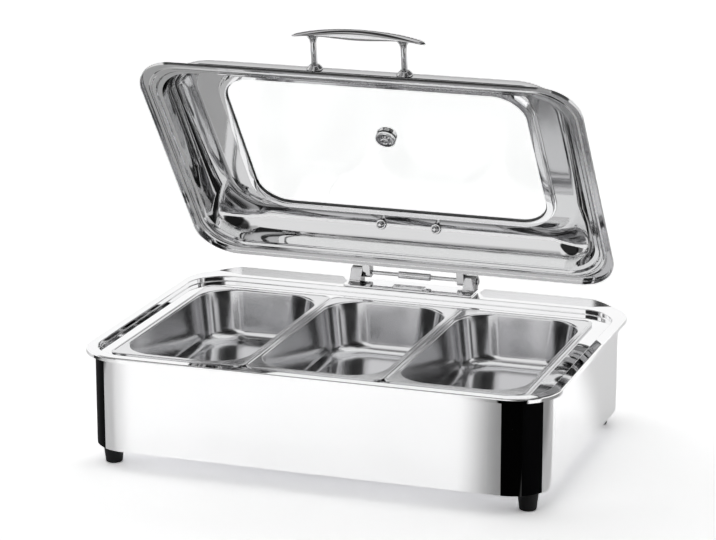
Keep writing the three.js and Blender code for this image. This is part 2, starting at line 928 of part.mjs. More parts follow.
// Mains inlet: a flanged socket with its recess and three flat pins, no lead.
function powerInlet() {
  const plate = box(inletEarWidth, inletPlate, inletEarHeight).translate(0, inletPlate / 2, 0);
  const bodyLength = inletDepth + inletPlate / 2;
  const body = box(inletWidth, bodyLength, inletHeight).translate(0, inletPlate / 2 - bodyLength / 2, 0);
  const halfX = inletWidth / 2 - inletWall;
  const halfZ = inletHeight / 2 - inletWall;
  const mouth = new THREE.Shape();
  mouth.moveTo(-halfX, -halfZ);
  mouth.lineTo(halfX, -halfZ);
  mouth.lineTo(halfX, halfZ - inletChamfer);
  mouth.lineTo(halfX - inletChamfer, halfZ);
  mouth.lineTo(-halfX + inletChamfer, halfZ);
  mouth.lineTo(-halfX, halfZ - inletChamfer);
  const recess = new THREE.ExtrudeGeometry(mouth, { depth: inletRecess + overrun, bevelEnabled: false });
  recess.rotateX(Math.PI / 2).translate(0, inletPlate + overrun, 0);
  const pinLength = inletRecess - inletPinSetback + sheet;
  const pins = [[-inletPinPitch, -inletPinDrop], [0, inletPinDrop], [inletPinPitch, -inletPinDrop]];
  const blades = pins.map(([x, z]) => box(inletPinWidth, pinLength, inletPinHeight)
    .translate(x, inletPlate - inletRecess - sheet + pinLength / 2, z / 2));
  return join(cut(join(plate, [body]), [recess]), blades);
}

place('power_inlet', powerInlet(), blackPlastic(), base, [inletX, panelOuter, controlZ]);

function terminalBlock() {
  const half = blockWidth / 2;
  const shape = new THREE.Shape();
  shape.moveTo(-half, 0);
  shape.lineTo(half, 0);
  shape.lineTo(half, blockHeight - blockStep);
  shape.lineTo(half - blockStep, blockHeight - blockStep);
  shape.lineTo(half - blockStep, blockHeight);
  shape.lineTo(-half + blockStep, blockHeight);
  shape.lineTo(-half + blockStep, blockHeight - blockStep);
  shape.lineTo(-half, blockHeight - blockStep);
  return sidePlate(shape, -blockLength / 2, blockLength);
}

const blockY = housingHalfY - blockInset;
place('terminal_block', terminalBlock(), finish('#e6e3da', 0.5, 0), base, [blockX, blockY, coverFloor]);

// Hinge, fixed half: base plate, cover plate and two posts with bored eyes

function flatPlate(halfX, front, rear, corner, low, thickness) {
  const outline = { halfX, front, rear, corner };
  return loft([ring({ ...outline, z: low }, 2), ring({ ...outline, z: low + thickness }, 2)]);
}

const plateFront = recessRear + basePlateFront;
const plateRear = pivotY + postFootRear + sheet;
const plateTop = deckSeat + basePlateSheet;
const basePlate = flatPlate(basePlateHalf, plateFront, plateRear, basePlateSheet, deckSeat, basePlateSheet);
place('hinge_base_plate', basePlate, mirrorSteel(), base);
const coverFront = plateFront + centrePlateFront;
const coverRear = coverFront + centrePlateDepth;
const coverSeat = plateTop + seat;
const coverPlate = flatPlate(centrePlateHalf, coverFront, coverRear, basePlateSheet, coverSeat, basePlateSheet);
place('hinge_cover_plate', coverPlate, mirrorSteel(), base);

// Side view of a post: a foot that leans back into a round eye about the shaft.
function hingePost(x) {
  const shape = new THREE.Shape();
  const foot = plateTop + seat;
  shape.moveTo(pivotY - postFootFront, foot);
  shape.lineTo(pivotY + postFootRear, foot);
  shape.absarc(pivotY, pivotZ, postEyeRadius, -Math.PI / 3, radians(150), false);
  const bore = new THREE.Path();
  bore.absarc(pivotY, pivotZ, shaftRadius + boreGap, 0, 2 * Math.PI, true);
  shape.holes.push(bore);
  return sidePlate(shape, x, postOuter - postInner, smallSides);
}

place('hinge_post_right', hingePost(postInner), mirrorSteel(), base);
place('hinge_post_left', hingePost(-postOuter), mirrorSteel(), base);

// Food pans: straight taper walls, a beaded flange and a turned-down edge

const panHalfX = (panPitch - panGap) / 2;
const panMouthX = panHalfX - panFlangeSide;
const panMouthY = pansHalfY - panFlangeEnd;

function panFlangeRing(inset, z) {
  return ring({
    halfX: panHalfX - inset,
    front: -pansHalfY + inset,
    rear: pansHalfY - inset,
    corner: panCorner - inset / 2,
    z,
  }, panCornerSteps);
}

function panMouthRing(inset, z) {
  return ring({
    halfX: panMouthX - inset,
    front: -panMouthY + inset,
    rear: panMouthY - inset,
    corner: panMouthCorner - inset / 3,
    z,
  }, panCornerSteps);
}

function foodPan() {
  const wall = panSheet;
  const flangeTop = -panBeadRise;
  const roundIn = panFloorRound * (1 - Math.SQRT1_2);
  return loft([
    panMouthRing(panTaper + panFloorRound, -panDepth),
    panMouthRing(panTaper + roundIn, -panDepth + roundIn),
    panMouthRing(panTaper, -panDepth + panFloorRound),
    panMouthRing(0, flangeTop - panMouthRound),
    panMouthRing(-panMouthRound / 3, flangeTop - panMouthRound / 3),
    panMouthRing(-panMouthRound, flangeTop),
    panFlangeRing(panBead, flangeTop),
    panFlangeRing(panBead - panBeadRise, 0),
    panFlangeRing(panEdgeRound, 0),
    panFlangeRing(0, -panEdgeRound),
    panFlangeRing(0, -panEdgeDrop),
    panFlangeRing(wall, -panEdgeDrop),
    panFlangeRing(wall, flangeTop - wall),
    panMouthRing(-panMouthRound, flangeTop - wall),
    panMouthRing(-wall, flangeTop - panMouthRound - wall),
    panMouthRing(panTaper - wall, -panDepth + panFloorRound - wall / 2),
    panMouthRing(panTaper + roundIn - wall / 2, -panDepth + roundIn - wall),
    panMouthRing(panTaper + panFloorRound, -panDepth - wall),
  ]);
}

['left', 'centre', 'right'].forEach((name, i) => {
  const x = (i - (panCount - 1) / 2) * panPitch;
  place(`food_pan_${name}`, foodPan(), satinSteel(), dish, [x, panCentreY, panLevel]);
});

// Lid: everything below is placed as if the lid were shut, then turned open about the shaft

const lidHinge = new THREE.Group();
lidHinge.position.set(0, pivotY, pivotZ);
lidHinge.rotation.x = -radians(openDegrees);
dish.add(lidHinge);
const lid = new THREE.Group();
lid.position.set(0, -pivotY, -pivotZ);
lidHinge.add(lid);

const lidHalfX = recessHalfX - lidSideGap;
const lidFront = recessFront + lidFrontGap;
const lidRear = recessRear - lidRearGap;
const lidLow = ledgeTop + seat;
const lidFlangeTop = lidLow + lidEdge;
const domeFoot = lidFlangeTop + lidBeadRise;
const domeTop = domeFoot + domeRise;
const domeInset = lidShoulder + domeRun;
const windowRear = lidRear - windowRearInset;
const windowFront = lidFront + windowFrontInset;
const windowHalfX = lidHalfX - windowSideInset;

// The dome's wall is a quarter ellipse. Returns a point on it, depth below the skin,
// as an inset from the lid's edge and a height, with the angle of the skin's normal.
function domePoint(degrees, depth = 0) {
  const along = Math.cos(radians(degrees)) / domeRun;
  const up = Math.sin(radians(degrees)) / domeRise;
  const size = Math.hypot(along, up);
  return {
    inset: lidShoulder + domeRun * (1 - Math.cos(radians(degrees))) + depth * along / size,
    z: domeFoot + domeRise * Math.sin(radians(degrees)) - depth * up / size,
    normal: Math.atan2(up, along),
  };
}

function lidRing(inset, z) {
  return ring({
    halfX: lidHalfX - inset,
    front: lidFront + inset,
    rear: lidRear - inset,
    corner: lidCorner + (domeCorner - lidCorner) * inset / domeInset,
    z,
  });
}

function windowRing(offset, z) {
  return ring({
    halfX: windowHalfX + offset,
    front: windowFront - offset,
    rear: windowRear + offset,
    corner: windowCorner + offset,
    z,
  });
}

function lidShell() {
  const slope = lidRoll * (1 - Math.SQRT1_2);
  const rings = [
    lidRing(0, lidLow),
    lidRing(0, lidFlangeTop - lidRoll),
    lidRing(slope, lidFlangeTop - slope),
    lidRing(lidRoll, lidFlangeTop),
    lidRing(lidFlange, lidFlangeTop),
    lidRing(lidFlange + lidBeadRun, domeFoot),
  ];
  for (let i = 0; i <= domeSteps; i += 1) {
    const point = domePoint(90 * i / domeSteps);
    rings.push(lidRing(point.inset, point.z));
  }
  rings.push(windowRing(0, domeTop), windowRing(0, domeTop - sheet));
  for (let i = domeSteps; i >= 0; i -= 1) {
    const point = domePoint(90 * i / domeSteps, sheet);
    rings.push(lidRing(point.inset, point.z));
  }
  rings.push(
    lidRing(lidShoulder, domeFoot - sheet),
    lidRing(lidFlange + lidBeadRun + sheet / 2, domeFoot - sheet),
    lidRing(lidFlange + sheet / 2, lidFlangeTop - sheet),
    lidRing(lidRoll, lidFlangeTop - sheet),
    lidRing(sheet, lidFlangeTop - lidRoll),
    lidRing(sheet, lidLow),
  );
  return loft(rings, true);
}

// A frame on the dome's wall, its Z along the outward normal: the front one carries the
// handle, the rear one the hinge plate and its bolts.
function wallFrame(degrees, side) {
  const point = domePoint(degrees);
  const frame = new THREE.Group();
  const edge = side < 0 ? lidFront : lidRear;
  frame.position.set(0, edge - side * point.inset, point.z);
  frame.rotation.x = side < 0 ? Math.PI / 2 - point.normal : -(Math.PI / 2 - point.normal);
  frame.updateMatrix();
  return frame;
}

const handleFrame = wallFrame(handleDegrees, -1);
const boltFrame = wallFrame(boltDegrees, 1);

function wallHole(frame, radius, x) {
  return cylinder(radius, 2 * overrun + 2 * sheet, smallSides).translate(x, 0, 0).applyMatrix4(frame.matrix);
}

const shellHoles = [
  wallHole(handleFrame, handleScrewRadius + boreGap, handleX),
  wallHole(handleFrame, handleScrewRadius + boreGap, -handleX),
  wallHole(boltFrame, boltRadius + boreGap, boltX),
  wallHole(boltFrame, boltRadius + boreGap, -boltX),
];
place('lid_shell', cut(lidShell(), shellHoles), mirrorSteel(), lid);

// Window: a flat seal under the skin, the glass, and a frame welded to the skin inside

const sealTop = domeTop - sheet - seat;
const glassTop = sealTop - sealSheet - seat;
const glassLow = glassTop - glassSheet;
const frameTop = sealTop;

const seal = loft([
  windowRing(-sealInside, sealTop),
  windowRing(sealOutside, sealTop),
  windowRing(sealOutside, sealTop - sealSheet),
  windowRing(-sealInside, sealTop - sealSheet),
], true);
place('glass_seal', seal, rubber(), lid);

const ventY = lidRear - ventInset;

function lidGlass() {
  const pane = loft([windowRing(glassOutside, glassLow), windowRing(glassOutside, glassTop)]);
  const hole = cylinder(ventTube + boreGap, glassSheet + 2 * overrun);
  return cut(pane, [hole.translate(ventX, ventY, (glassLow + glassTop) / 2)]);
}

place('lid_glass', lidGlass(), clearGlass(), lid);

const frameLow = glassLow - seat;
const windowFrame = loft([
  windowRing(frameInside, frameLow),
  windowRing(frameWall, frameLow),
  windowRing(frameWall, frameTop),
  windowRing(frameFlange, frameTop),
  windowRing(frameFlange, frameTop - frameSheet),
  windowRing(frameWall + frameSheet, frameTop - frameSheet),
  windowRing(frameWall + frameSheet, frameLow - frameSheet),
  windowRing(frameInside, frameLow - frameSheet),
], true);
place('window_frame', windowFrame, mirrorSteel(), lid);

// Steam vent: a bored tube through the glass between an outer cap and an inner nut

function ventDisc(height, up) {
  return turned([
    [ventTube + seat, 0],
    [ventRadius, 0],
    [ventRadius, up * (height - ventRound)],
    [ventRadius - ventRound, up * height],
    [ventTube + seat, up * height],
  ]);
}

place('vent_cap', ventDisc(ventCapHeight, 1), mirrorSteel(), lid, [ventX, ventY, glassTop + seat]);
place('vent_nut', ventDisc(ventNutHeight, -1), mirrorSteel(), lid, [ventX, ventY, glassLow - seat]);

const ventTop = glassTop + seat + ventCapHeight + seat;
const ventLow = glassLow - seat - ventNutHeight - ventMiddleLift;
const bushing = turned([
  [ventBore, ventLow],
  [ventTube, ventLow],
  [ventTube, ventTop],
  [ventCollarRadius, ventTop],
  [ventCollarRadius, ventTop + ventCollarHeight],
  [ventBore, ventTop + ventCollarHeight],
]);
place('vent_bushing', bushing, mirrorSteel(), lid, [ventX, ventY, 0]);

// Hinge, moving half: shaft, sleeve, two arms and the plate bolted to the lid's rear wall

function alongX(geometry) {
  return geometry.rotateY(Math.PI / 2);
}

function hingeShaft() {
  const shaft = alongX(cylinder(shaftRadius, 2 * (postOuter + seat) + sheet, smallSides));
  const heads = [-1, 1].map((side) => alongX(cylinder(shaftHead, shaftHeadDepth, smallSides))
    .translate(side * (postOuter + seat + shaftHeadDepth / 2), 0, 0));
  return join(shaft, heads);
}

function hingeSleeve() {
  return alongX(turned([
    [shaftRadius + boreGap, -sleeveHalf],
    [sleeveRadius, -sleeveHalf],
    [sleeveRadius, sleeveHalf],
    [shaftRadius + boreGap, sleeveHalf],
  ], smallSides));
}

place('hinge_shaft', hingeShaft(), mirrorSteel(), lidHinge);
place('hinge_sleeve', hingeSleeve(), satinSteel(), lidHinge);

// Side view of an arm, in the plane of the shaft's eye: a bar from the eye to the lid plate,
// whose near end is cut to lie on the plate.
function hingeArm(x) {
  const start = new THREE.Vector2(boltFrame.position.y, boltFrame.position.z);
  const eye = new THREE.Vector2(pivotY, pivotZ);
  const normal = new THREE.Vector2(Math.sin(-boltFrame.rotation.x), Math.cos(boltFrame.rotation.x));
  const down = new THREE.Vector2(normal.y, -normal.x);
  const seatHeight = 2 * seat + lidPlateSheet;
  const near = (along, height) => start.clone().addScaledVector(down, along).addScaledVector(normal, height);
  const lowFront = near(-lidPlateLength / 2, seatHeight);
  const lowBack = near(lidPlateLength / 2, seatHeight);
  const highFront = near(-lidPlateLength / 2, seatHeight + armTip);
  const highBack = near(0, seatHeight + armDepth);
  const lowAngle = Math.atan2(lowBack.x - eye.x, eye.y - lowBack.y);
  const highAngle = Math.atan2(eye.x - highBack.x, highBack.y - eye.y);
  const shape = new THREE.Shape();
  shape.moveTo(highFront.x, highFront.y);
  shape.lineTo(lowFront.x, lowFront.y);
  shape.lineTo(lowBack.x, lowBack.y);
  shape.absarc(eye.x, eye.y, armEyeRadius, lowAngle, highAngle, false);
  shape.lineTo(highBack.x, highBack.y);
  const bore = new THREE.Path();
  bore.absarc(eye.x, eye.y, shaftRadius + boreGap, 0, 2 * Math.PI, true);
  shape.holes.push(bore);
  return sidePlate(shape, x, armOuter - armInner);
}

place('hinge_arm_right', hingeArm(armInner), mirrorSteel(), lid);
place('hinge_arm_left', hingeArm(-armOuter), mirrorSteel(), lid);

function lidPlate() {
  const half = lidPlateLength / 2;
  const plate = flatPlate(lidPlateHalf, -half, half, lidPlateSheet, seat, lidPlateSheet);
  const through = 2 * overrun + lidPlateSheet;
  const holes = [-boltX, boltX].map((x) => cylinder(boltRadius + boreGap, through, smallSides)
    .translate(x, 0, lidPlateSheet / 2));
  return cut(plate, holes);
}

lid.add(boltFrame);
place('hinge_lid_plate', lidPlate(), mirrorSteel(), boltFrame);

// A round washer lies across the hollow side of the wall, so it stands off by the wall's sag.
function wallSag(radius) {
  return radius * radius / (2 * domeRun);
}

const boltSeat = 2 * seat + lidPlateSheet;
const nutTop = -sheet - wallSag(washerRadius) - 2 * seat;
const boltTip = nutTop - washerHeight - capNutHeight / 2;
const bolt = turned([
  [0, boltTip],
  [boltRadius, boltTip],
  [boltRadius, boltSeat],
  [boltHeadRadius, boltSeat],
  [boltHeadRadius, boltSeat + boltHeadHeight / 2],
  [boltHeadRadius / 2, boltSeat + boltHeadHeight],
  [0, boltSeat + boltHeadHeight],
], smallSides);
const capNut = turned([
  [boltRadius + boreGap, nutTop],
  [washerRadius, nutTop],
  [washerRadius, nutTop - washerHeight],
  [capNutRadius, nutTop - washerHeight],
  [capNutRadius, nutTop - washerHeight - capNutHeight / 2],
  [capNutRadius * Math.SQRT1_2, nutTop - washerHeight - capNutHeight],
  [0, nutTop - washerHeight - capNutHeight],
  [0, boltTip - seat],
  [boltRadius + boreGap, boltTip - seat],
], smallSides);
for (const [name, side] of [['left', -1], ['right', 1]]) {
  place(`hinge_bolt_${name}`, bolt.clone(), satinSteel(), boltFrame, [side * boltX, 0, 0]);
  place(`hinge_cap_nut_${name}`, capNut.clone(), mirrorSteel(), boltFrame, [side * boltX, 0, 0]);
}

// Handle: an arched bar with a belly under its middle, on two flared posts with disc feet

lid.add(handleFrame);

function barTopAt(share) {
  return barEndTop + barArch * (1 - share * share);
}

function barDepthAt(share) {
  return barEndDepth + barBelly * (1 - share * share) ** bellyPower;
}

// A station's outline is an ellipse flattened towards the bar's ends.
function barRing(share) {
  const depth = barDepthAt(share);
  const halfWidth = barHalfWidth * (1 - barTaperShare * share ** 4);
  const middle = barTopAt(share) - depth / 2;
  const points = [];
  for (let i = 0; i < barSides; i += 1) {
    const angle = i / barSides * 2 * Math.PI;
    const y = halfWidth * Math.cos(angle);
    points.push(new THREE.Vector3(share * barHalf, y, middle + depth / 2 * Math.sin(angle)));
  }
  return points;
}

function handleBar() {
  const rings = [];
  for (let i = 0; i <= barStations; i += 1) rings.push(barRing(2 * i / barStations - 1));
  return loft(rings);
}

const footTop = seat + handleFootHeight;
const postLow = footTop + seat;
const postHigh = barTopAt(handleX / barHalf) - barDepthAt(handleX / barHalf) / 2 - seat;

function handlePost(side) {
  const stem = turned([
    [0, postLow],
    [postRadius, postLow],
    [postRadius, postHigh - postFlareHeight],
    [(postRadius + postFlareRadius) / 2 - sheet, postHigh - postFlareHeight / 2],
    [postFlareRadius, postHigh],
    [0, postHigh],
  ]);
  const saddle = handleBar().translate(-side * handleX, 0, -seat);
  const above = box(2 * postFlareRadius + sheet, 2 * postFlareRadius + sheet, postFlareHeight)
    .translate(0, 0, postHigh + postFlareHeight / 2);
  return cut(stem, [saddle, above]);
}

const handleFoot = turned([
  [handleScrewRadius + boreGap, seat],
  [handleFootRadius, seat],
  [handleFootRadius, seat + sheet],
  [handleFootTop, footTop - sheet],
  [postRadius, footTop],
  [handleScrewRadius + boreGap, footTop],
]);
const screwSeat = -sheet - wallSag(handleScrewHead) - 2 * seat;
const handleScrew = turned([
  [0, screwSeat - handleScrewHeadHeight],
  [handleScrewHead / 2, screwSeat - handleScrewHeadHeight],
  [handleScrewHead, screwSeat - handleScrewHeadHeight / 2],
  [handleScrewHead, screwSeat],
  [handleScrewRadius, screwSeat],
  [handleScrewRadius, footTop],
  [0, footTop],
], smallSides);
place('handle_bar', handleBar(), mirrorSteel(), handleFrame);
for (const [name, side] of [['left', -1], ['right', 1]]) {
  place(`handle_post_${name}`, handlePost(side), mirrorSteel(), handleFrame, [side * handleX, 0, 0]);
  place(`handle_foot_${name}`, handleFoot.clone(), mirrorSteel(), handleFrame, [side * handleX, 0, 0]);
  place(`handle_screw_${name}`, handleScrew.clone(), satinSteel(), handleFrame, [side * handleX, 0, 0]);
}

// The origin is the middle of the footprint, from the rim's front to the back of the hinge
const frontMost = -rimHalfY;
const rearMost = pivotY + postEyeRadius;
dish.position.y = -(frontMost + rearMost) / 2;

export default dish;
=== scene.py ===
import bmesh
import bpy
import math
from mathutils import Matrix, Vector


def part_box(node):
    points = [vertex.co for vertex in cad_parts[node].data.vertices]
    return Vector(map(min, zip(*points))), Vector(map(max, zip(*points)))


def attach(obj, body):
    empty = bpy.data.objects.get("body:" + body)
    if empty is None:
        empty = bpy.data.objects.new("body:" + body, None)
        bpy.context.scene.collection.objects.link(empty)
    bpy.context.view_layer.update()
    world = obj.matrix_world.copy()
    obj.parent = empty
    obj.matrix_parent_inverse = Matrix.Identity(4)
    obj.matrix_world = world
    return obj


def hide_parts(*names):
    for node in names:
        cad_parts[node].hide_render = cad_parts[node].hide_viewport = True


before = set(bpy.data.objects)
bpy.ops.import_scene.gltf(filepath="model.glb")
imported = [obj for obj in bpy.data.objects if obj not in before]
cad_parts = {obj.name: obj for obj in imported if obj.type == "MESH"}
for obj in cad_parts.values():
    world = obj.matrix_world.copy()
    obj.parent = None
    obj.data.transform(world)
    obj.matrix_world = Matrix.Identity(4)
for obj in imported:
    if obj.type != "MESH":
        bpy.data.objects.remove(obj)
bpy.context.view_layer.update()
bpy.ops.object.select_all(action="DESELECT")


# Camera. A long lens looks down on the dish from the front, a little to its right, with the
# whole dish in the frame.
MM = 0.001
image_width = 716
focal_pixels = 2828
sensor_width = 36
view_depth = 60
camera_azimuth = math.radians(19.0)
camera_elevation = math.radians(15.38)
camera_distance = 3.5222
aim = Vector((-4.5 * MM, -6 * MM, 224.8 * MM))
away = Vector((
    math.sin(camera_azimuth) * math.cos(camera_elevation),
    -math.cos(camera_azimuth) * math.cos(camera_elevation),
    math.sin(camera_elevation),
))
bpy.ops.object.camera_add(location=aim + away * camera_distance)
camera = bpy.context.object
camera.rotation_euler = away.to_track_quat("Z", "Y").to_euler()
camera.data.sensor_width = sensor_width
camera.data.lens = focal_pixels / image_width * sensor_width
camera.data.clip_end = view_depth
bpy.context.scene.camera = camera
bpy.context.scene.view_settings.view_transform = "Standard"


# Studio. A pale floor in a white room, with dark things standing round the room for the
# polished steel to show. Mirrors and glass see the floor as white as the lens does, but for
# its patches of painted shade, which only mirrors see.
def node_tree(owner):
    owner.use_nodes = True
    owner.node_tree.nodes.clear()
    return owner.node_tree


def set_inputs(tree, node, inputs):
    """Sets each input, or links it where its value is the socket of another node."""
    for key, value in inputs.items():
        if isinstance(value, bpy.types.NodeSocket):
            tree.links.new(value, node.inputs[key])
        else:
            node.inputs[key].default_value = value


def add_node(tree, kind, inputs, **settings):
    """Adds a shader node and gives its outputs."""
    node = tree.nodes.new("ShaderNode" + kind)
    for key, value in settings.items():
        setattr(node, key, value)
    set_inputs(tree, node, inputs)
    return node.outputs


def math_node(tree, operation, *terms):
    return add_node(tree, "Math", dict(enumerate(terms)), operation=operation)[0]


def fade(tree, value, start, end):
    """0 where value is at start or before it, 1 where it is at end or past it."""
    inputs = {"Value": value, "From Min": start, "From Max": end}
    return add_node(tree, "MapRange", inputs, interpolation_type="SMOOTHSTEP")["Result"]


def times(tree, *factors):
    result = factors[0]
    for factor in factors[1:]:
        result = math_node(tree, "MULTIPLY", result, factor)
    return result


def plus(tree, *terms):
    result = terms[0]
    for term in terms[1:]:
        result = math_node(tree, "ADD", result, term)
    return result


def patch(tree, depth, *edges):
    """A dark patch as deep as depth, within edges of (coordinate, where clear, where full)."""
    return times(tree, *[fade(tree, *edge) for edge in edges], depth)


def object_place(tree):
    """How far along the object's own X and Y a point lies."""
    place = add_node(tree, "TexCoord", {})["Object"]
    split = add_node(tree, "SeparateXYZ", {0: place})
    return split["X"], split["Y"]


def matt(tree, colour):
    return add_node(tree, "BsdfDiffuse", {"Color": colour})[0]


def glow(tree, strength):
    return add_node(tree, "Emission", {"Strength": strength})[0]


def mixed(tree, share, first, second):
    """The first shader where share is 0, the second where it is 1."""
    return add_node(tree, "MixShader", {0: share, 1: first, 2: second})[0]


def show(tree, shader):
    add_node(tree, "OutputMaterial", {"Surface": shader})


floor_size = 60
floor_cells = 8
floor_shadow_light = 0.06
floor_colour = (0.82, 0.82, 0.82, 1)
seen_floor_colour = (2.4, 2.4, 2.4, 1)
bpy.ops.mesh.primitive_grid_add(
    x_subdivisions=floor_cells, y_subdivisions=floor_cells, size=floor_size
)
floor = bpy.context.object
floor.name = "floor"
floor_finish = bpy.data.materials.new("pale_floor")
tree = node_tree(floor_finish)
lit_floor = matt(tree, seen_floor_colour)
lifted = add_node(tree, "AddShader", {0: lit_floor, 1: glow(tree, floor_shadow_light)})[0]
ray = add_node(tree, "LightPath", {})
mirror_ray = math_node(tree, "MAXIMUM", ray["Is Glossy Ray"], ray["Is Transmission Ray"])
seen_ray = math_node(tree, "MAXIMUM", ray["Is Camera Ray"], mirror_ray)
plain_floor = mixed(tree, seen_ray, matt(tree, floor_colour), lifted)
along_x, along_y = object_place(tree)

# Only mirrors see the floor's dark patches, which are painted shade: the polished walls show them
# as grey and black reflections. The first lies beside the dish.
beside_depth = 0.58
beside = patch(
    tree, beside_depth,
    (along_x, -310 * MM, -345 * MM), (along_x, -900 * MM, -600 * MM),
    (along_y, -260 * MM, -160 * MM), (along_y, 500 * MM, 350 * MM),
)

# The second spreads from the left front corner, where the wall starts to bend. It is grey by
# its angle from the flat wall's reflection, and nearly black further out. The corner's X is
# that of the right front corner, which the left one mirrors.
corner_x = 241.5 * MM
corner_y = -208 * MM
bend_slope = 0.45
black_slope = 0.344
least_reach = 30 * MM
flat_depth = 0.22
bend_depth = 0.27
black_depth = 0.47
full_angle = -1.1
left_of_corner = math_node(tree, "ADD", along_x, corner_x)
reach = math_node(tree, "MAXIMUM", math_node(tree, "SUBTRACT", corner_y, along_y), least_reach)
left_bend = plus(tree, left_of_corner, times(tree, reach, bend_slope))
left_angle = math_node(tree, "DIVIDE", left_bend, reach)
behind_corner = math_node(tree, "SUBTRACT", along_y, corner_y)
left_line = math_node(tree, "SUBTRACT", left_of_corner, times(tree, behind_corner, black_slope))
left_grey = plus(
    tree,
    patch(tree, flat_depth, (left_bend, 18 * MM, -4 * MM)),
    patch(tree, bend_depth, (left_angle, 0, full_angle)),
    patch(tree, black_depth, (left_line, -340 * MM, -470 * MM)),
)
left_end = patch(
    tree, left_grey,
    (along_y, -850 * MM, -700 * MM), (along_y, -160 * MM, -200 * MM),
    (along_x, -1300 * MM, -1000 * MM),
)

# The third lies off the right-hand wall, in three greys along a slanting line.
line_x = 300 * MM
line_y = -160 * MM
line_slope = 2.9
front_depth = 0.5
side_depth = 0.25
rear_depth = 0.38
right_line = math_node(
    tree, "SUBTRACT",
    math_node(tree, "SUBTRACT", along_y, line_y),
    times(tree, math_node(tree, "SUBTRACT", along_x, line_x), line_slope),
)
right_grey = plus(
    tree,
    patch(tree, front_depth, (right_line, 60 * MM, -120 * MM)),
    patch(tree, side_depth, (right_line, -200 * MM, -700 * MM)),
    patch(tree, rear_depth, (right_line, 200 * MM, 320 * MM)),
)
right_end = patch(
    tree, right_grey,
    (along_x, 290 * MM, 300 * MM), (along_x, 1200 * MM, 900 * MM),
    (along_y, -300 * MM, -250 * MM),
)
painted_floor_shade = math_node(tree, "MAXIMUM", math_node(tree, "MAXIMUM", beside, left_end), right_end)
shade = times(tree, painted_floor_shade, ray["Is Glossy Ray"])
show(tree, mixed(tree, shade, plain_floor, glow(tree, 0)))
floor.data.materials.append(floor_finish)

world = bpy.data.worlds.new("studio")
bpy.context.scene.world = world
tree = node_tree(world)
direction = add_node(tree, "TexCoord", {})["Generated"]


# Each dark thing in the room: where it stands in degrees round and up, how far its full dark
# and its soft edge reach in degrees, and how much light it takes away.
dark_things = (
    (-42, 30, 30, 38, 0.9),
    (-40, 8, 24, 31, 0.85),
    (-62, 44, 14, 24, 0.6),
    (-134, 13, 19.5, 22.5, 0.97),
    (-155, 45, 18, 26, 0.6),
    (30, 52, 20, 22, 0.92),
    (130, 60, 18.8, 20.8, 0.95),
    (0, 90, 12, 21, 0.6),
    (-135, 61, 10, 16, 0.6),
    (-142, 60, 5, 8, 0.7),
    (-158, 7, 6, 12, 0.8),
    (70, 42, 15, 22, 0.95),
    (-92, 52, 14, 20, 0.45),
)
room = 1
for azimuth, elevation, core, edge, depth in dark_things:
    azimuth, elevation = math.radians(azimuth), math.radians(elevation)
    towards = (
        math.cos(elevation) * math.cos(azimuth),
        math.cos(elevation) * math.sin(azimuth),
        math.sin(elevation),
    )
    nearness = add_node(tree, "VectorMath", {0: direction, 1: towards}, operation="DOT_PRODUCT")
    clear_at, full_at = math.cos(math.radians(edge)), math.cos(math.radians(core))
    near = fade(tree, nearness["Value"], clear_at, full_at)
    room = times(tree, math_node(tree, "MULTIPLY_ADD", near, -depth, 1), room)
ray = add_node(tree, "LightPath", {})
open_ray = math_node(tree, "MAXIMUM", ray["Is Camera Ray"], ray["Is Transmission Ray"])
level = math_node(tree, "MAXIMUM", room, open_ray)
background = add_node(tree, "Background", {"Color": (1, 1, 1, 1), "Strength": level})[0]
add_node(tree, "OutputWorld", {"Surface": background})


# Black flag. A matt card lies on the floor in front of the right-hand corner, out of the
# lens's sight, so that the polished corner and the rim above it reflect black, as steel
# needs to read as steel.
flag_size = 1300 * MM
flag_cells = 4
flag_place = (550 * MM, -450 * MM, 1 * MM)
flag_corner = Vector((corner_x, corner_y))
to_lens = camera.location - flag_corner.to_3d()
flag_slope = -to_lens.x / to_lens.y
flag_fade = 62 * MM
flag_edge = 2 * MM
side_fade = 90 * MM
side_slope = -0.9
soft_depth = 0.72
card_colour = (0.002, 0.002, 0.002, 1)
bpy.ops.mesh.primitive_grid_add(
    x_subdivisions=flag_cells, y_subdivisions=flag_cells, size=flag_size, location=flag_place
)
bpy.ops.object.transform_apply()
flag = bpy.context.object
flag.name = "black_flag"
flag_finish = bpy.data.materials.new("black_card")
tree = node_tree(flag_finish)
along_x, along_y = object_place(tree)
across = math_node(tree, "SUBTRACT", along_x, flag_corner.x)
along = math_node(tree, "SUBTRACT", along_y, flag_corner.y)
left_edge = math_node(tree, "SUBTRACT", across, times(tree, along, flag_slope))
right_edge = math_node(tree, "SUBTRACT", along, times(tree, across, side_slope))
soft_half = patch(tree, soft_depth, (left_edge, -flag_fade, 0))
hard_half = patch(tree, 1 - soft_depth, (left_edge, 0, flag_edge))
cover = patch(tree, plus(tree, soft_half, hard_half), (right_edge, side_fade, 0))
clear = add_node(tree, "BsdfTransparent", {})[0]
show(tree, mixed(tree, cover, clear, matt(tree, card_colour)))
flag.data.materials.append(flag_finish)
flag.visible_camera = False
flag.visible_diffuse = False
flag.visible_transmission = False
flag.visible_shadow = False


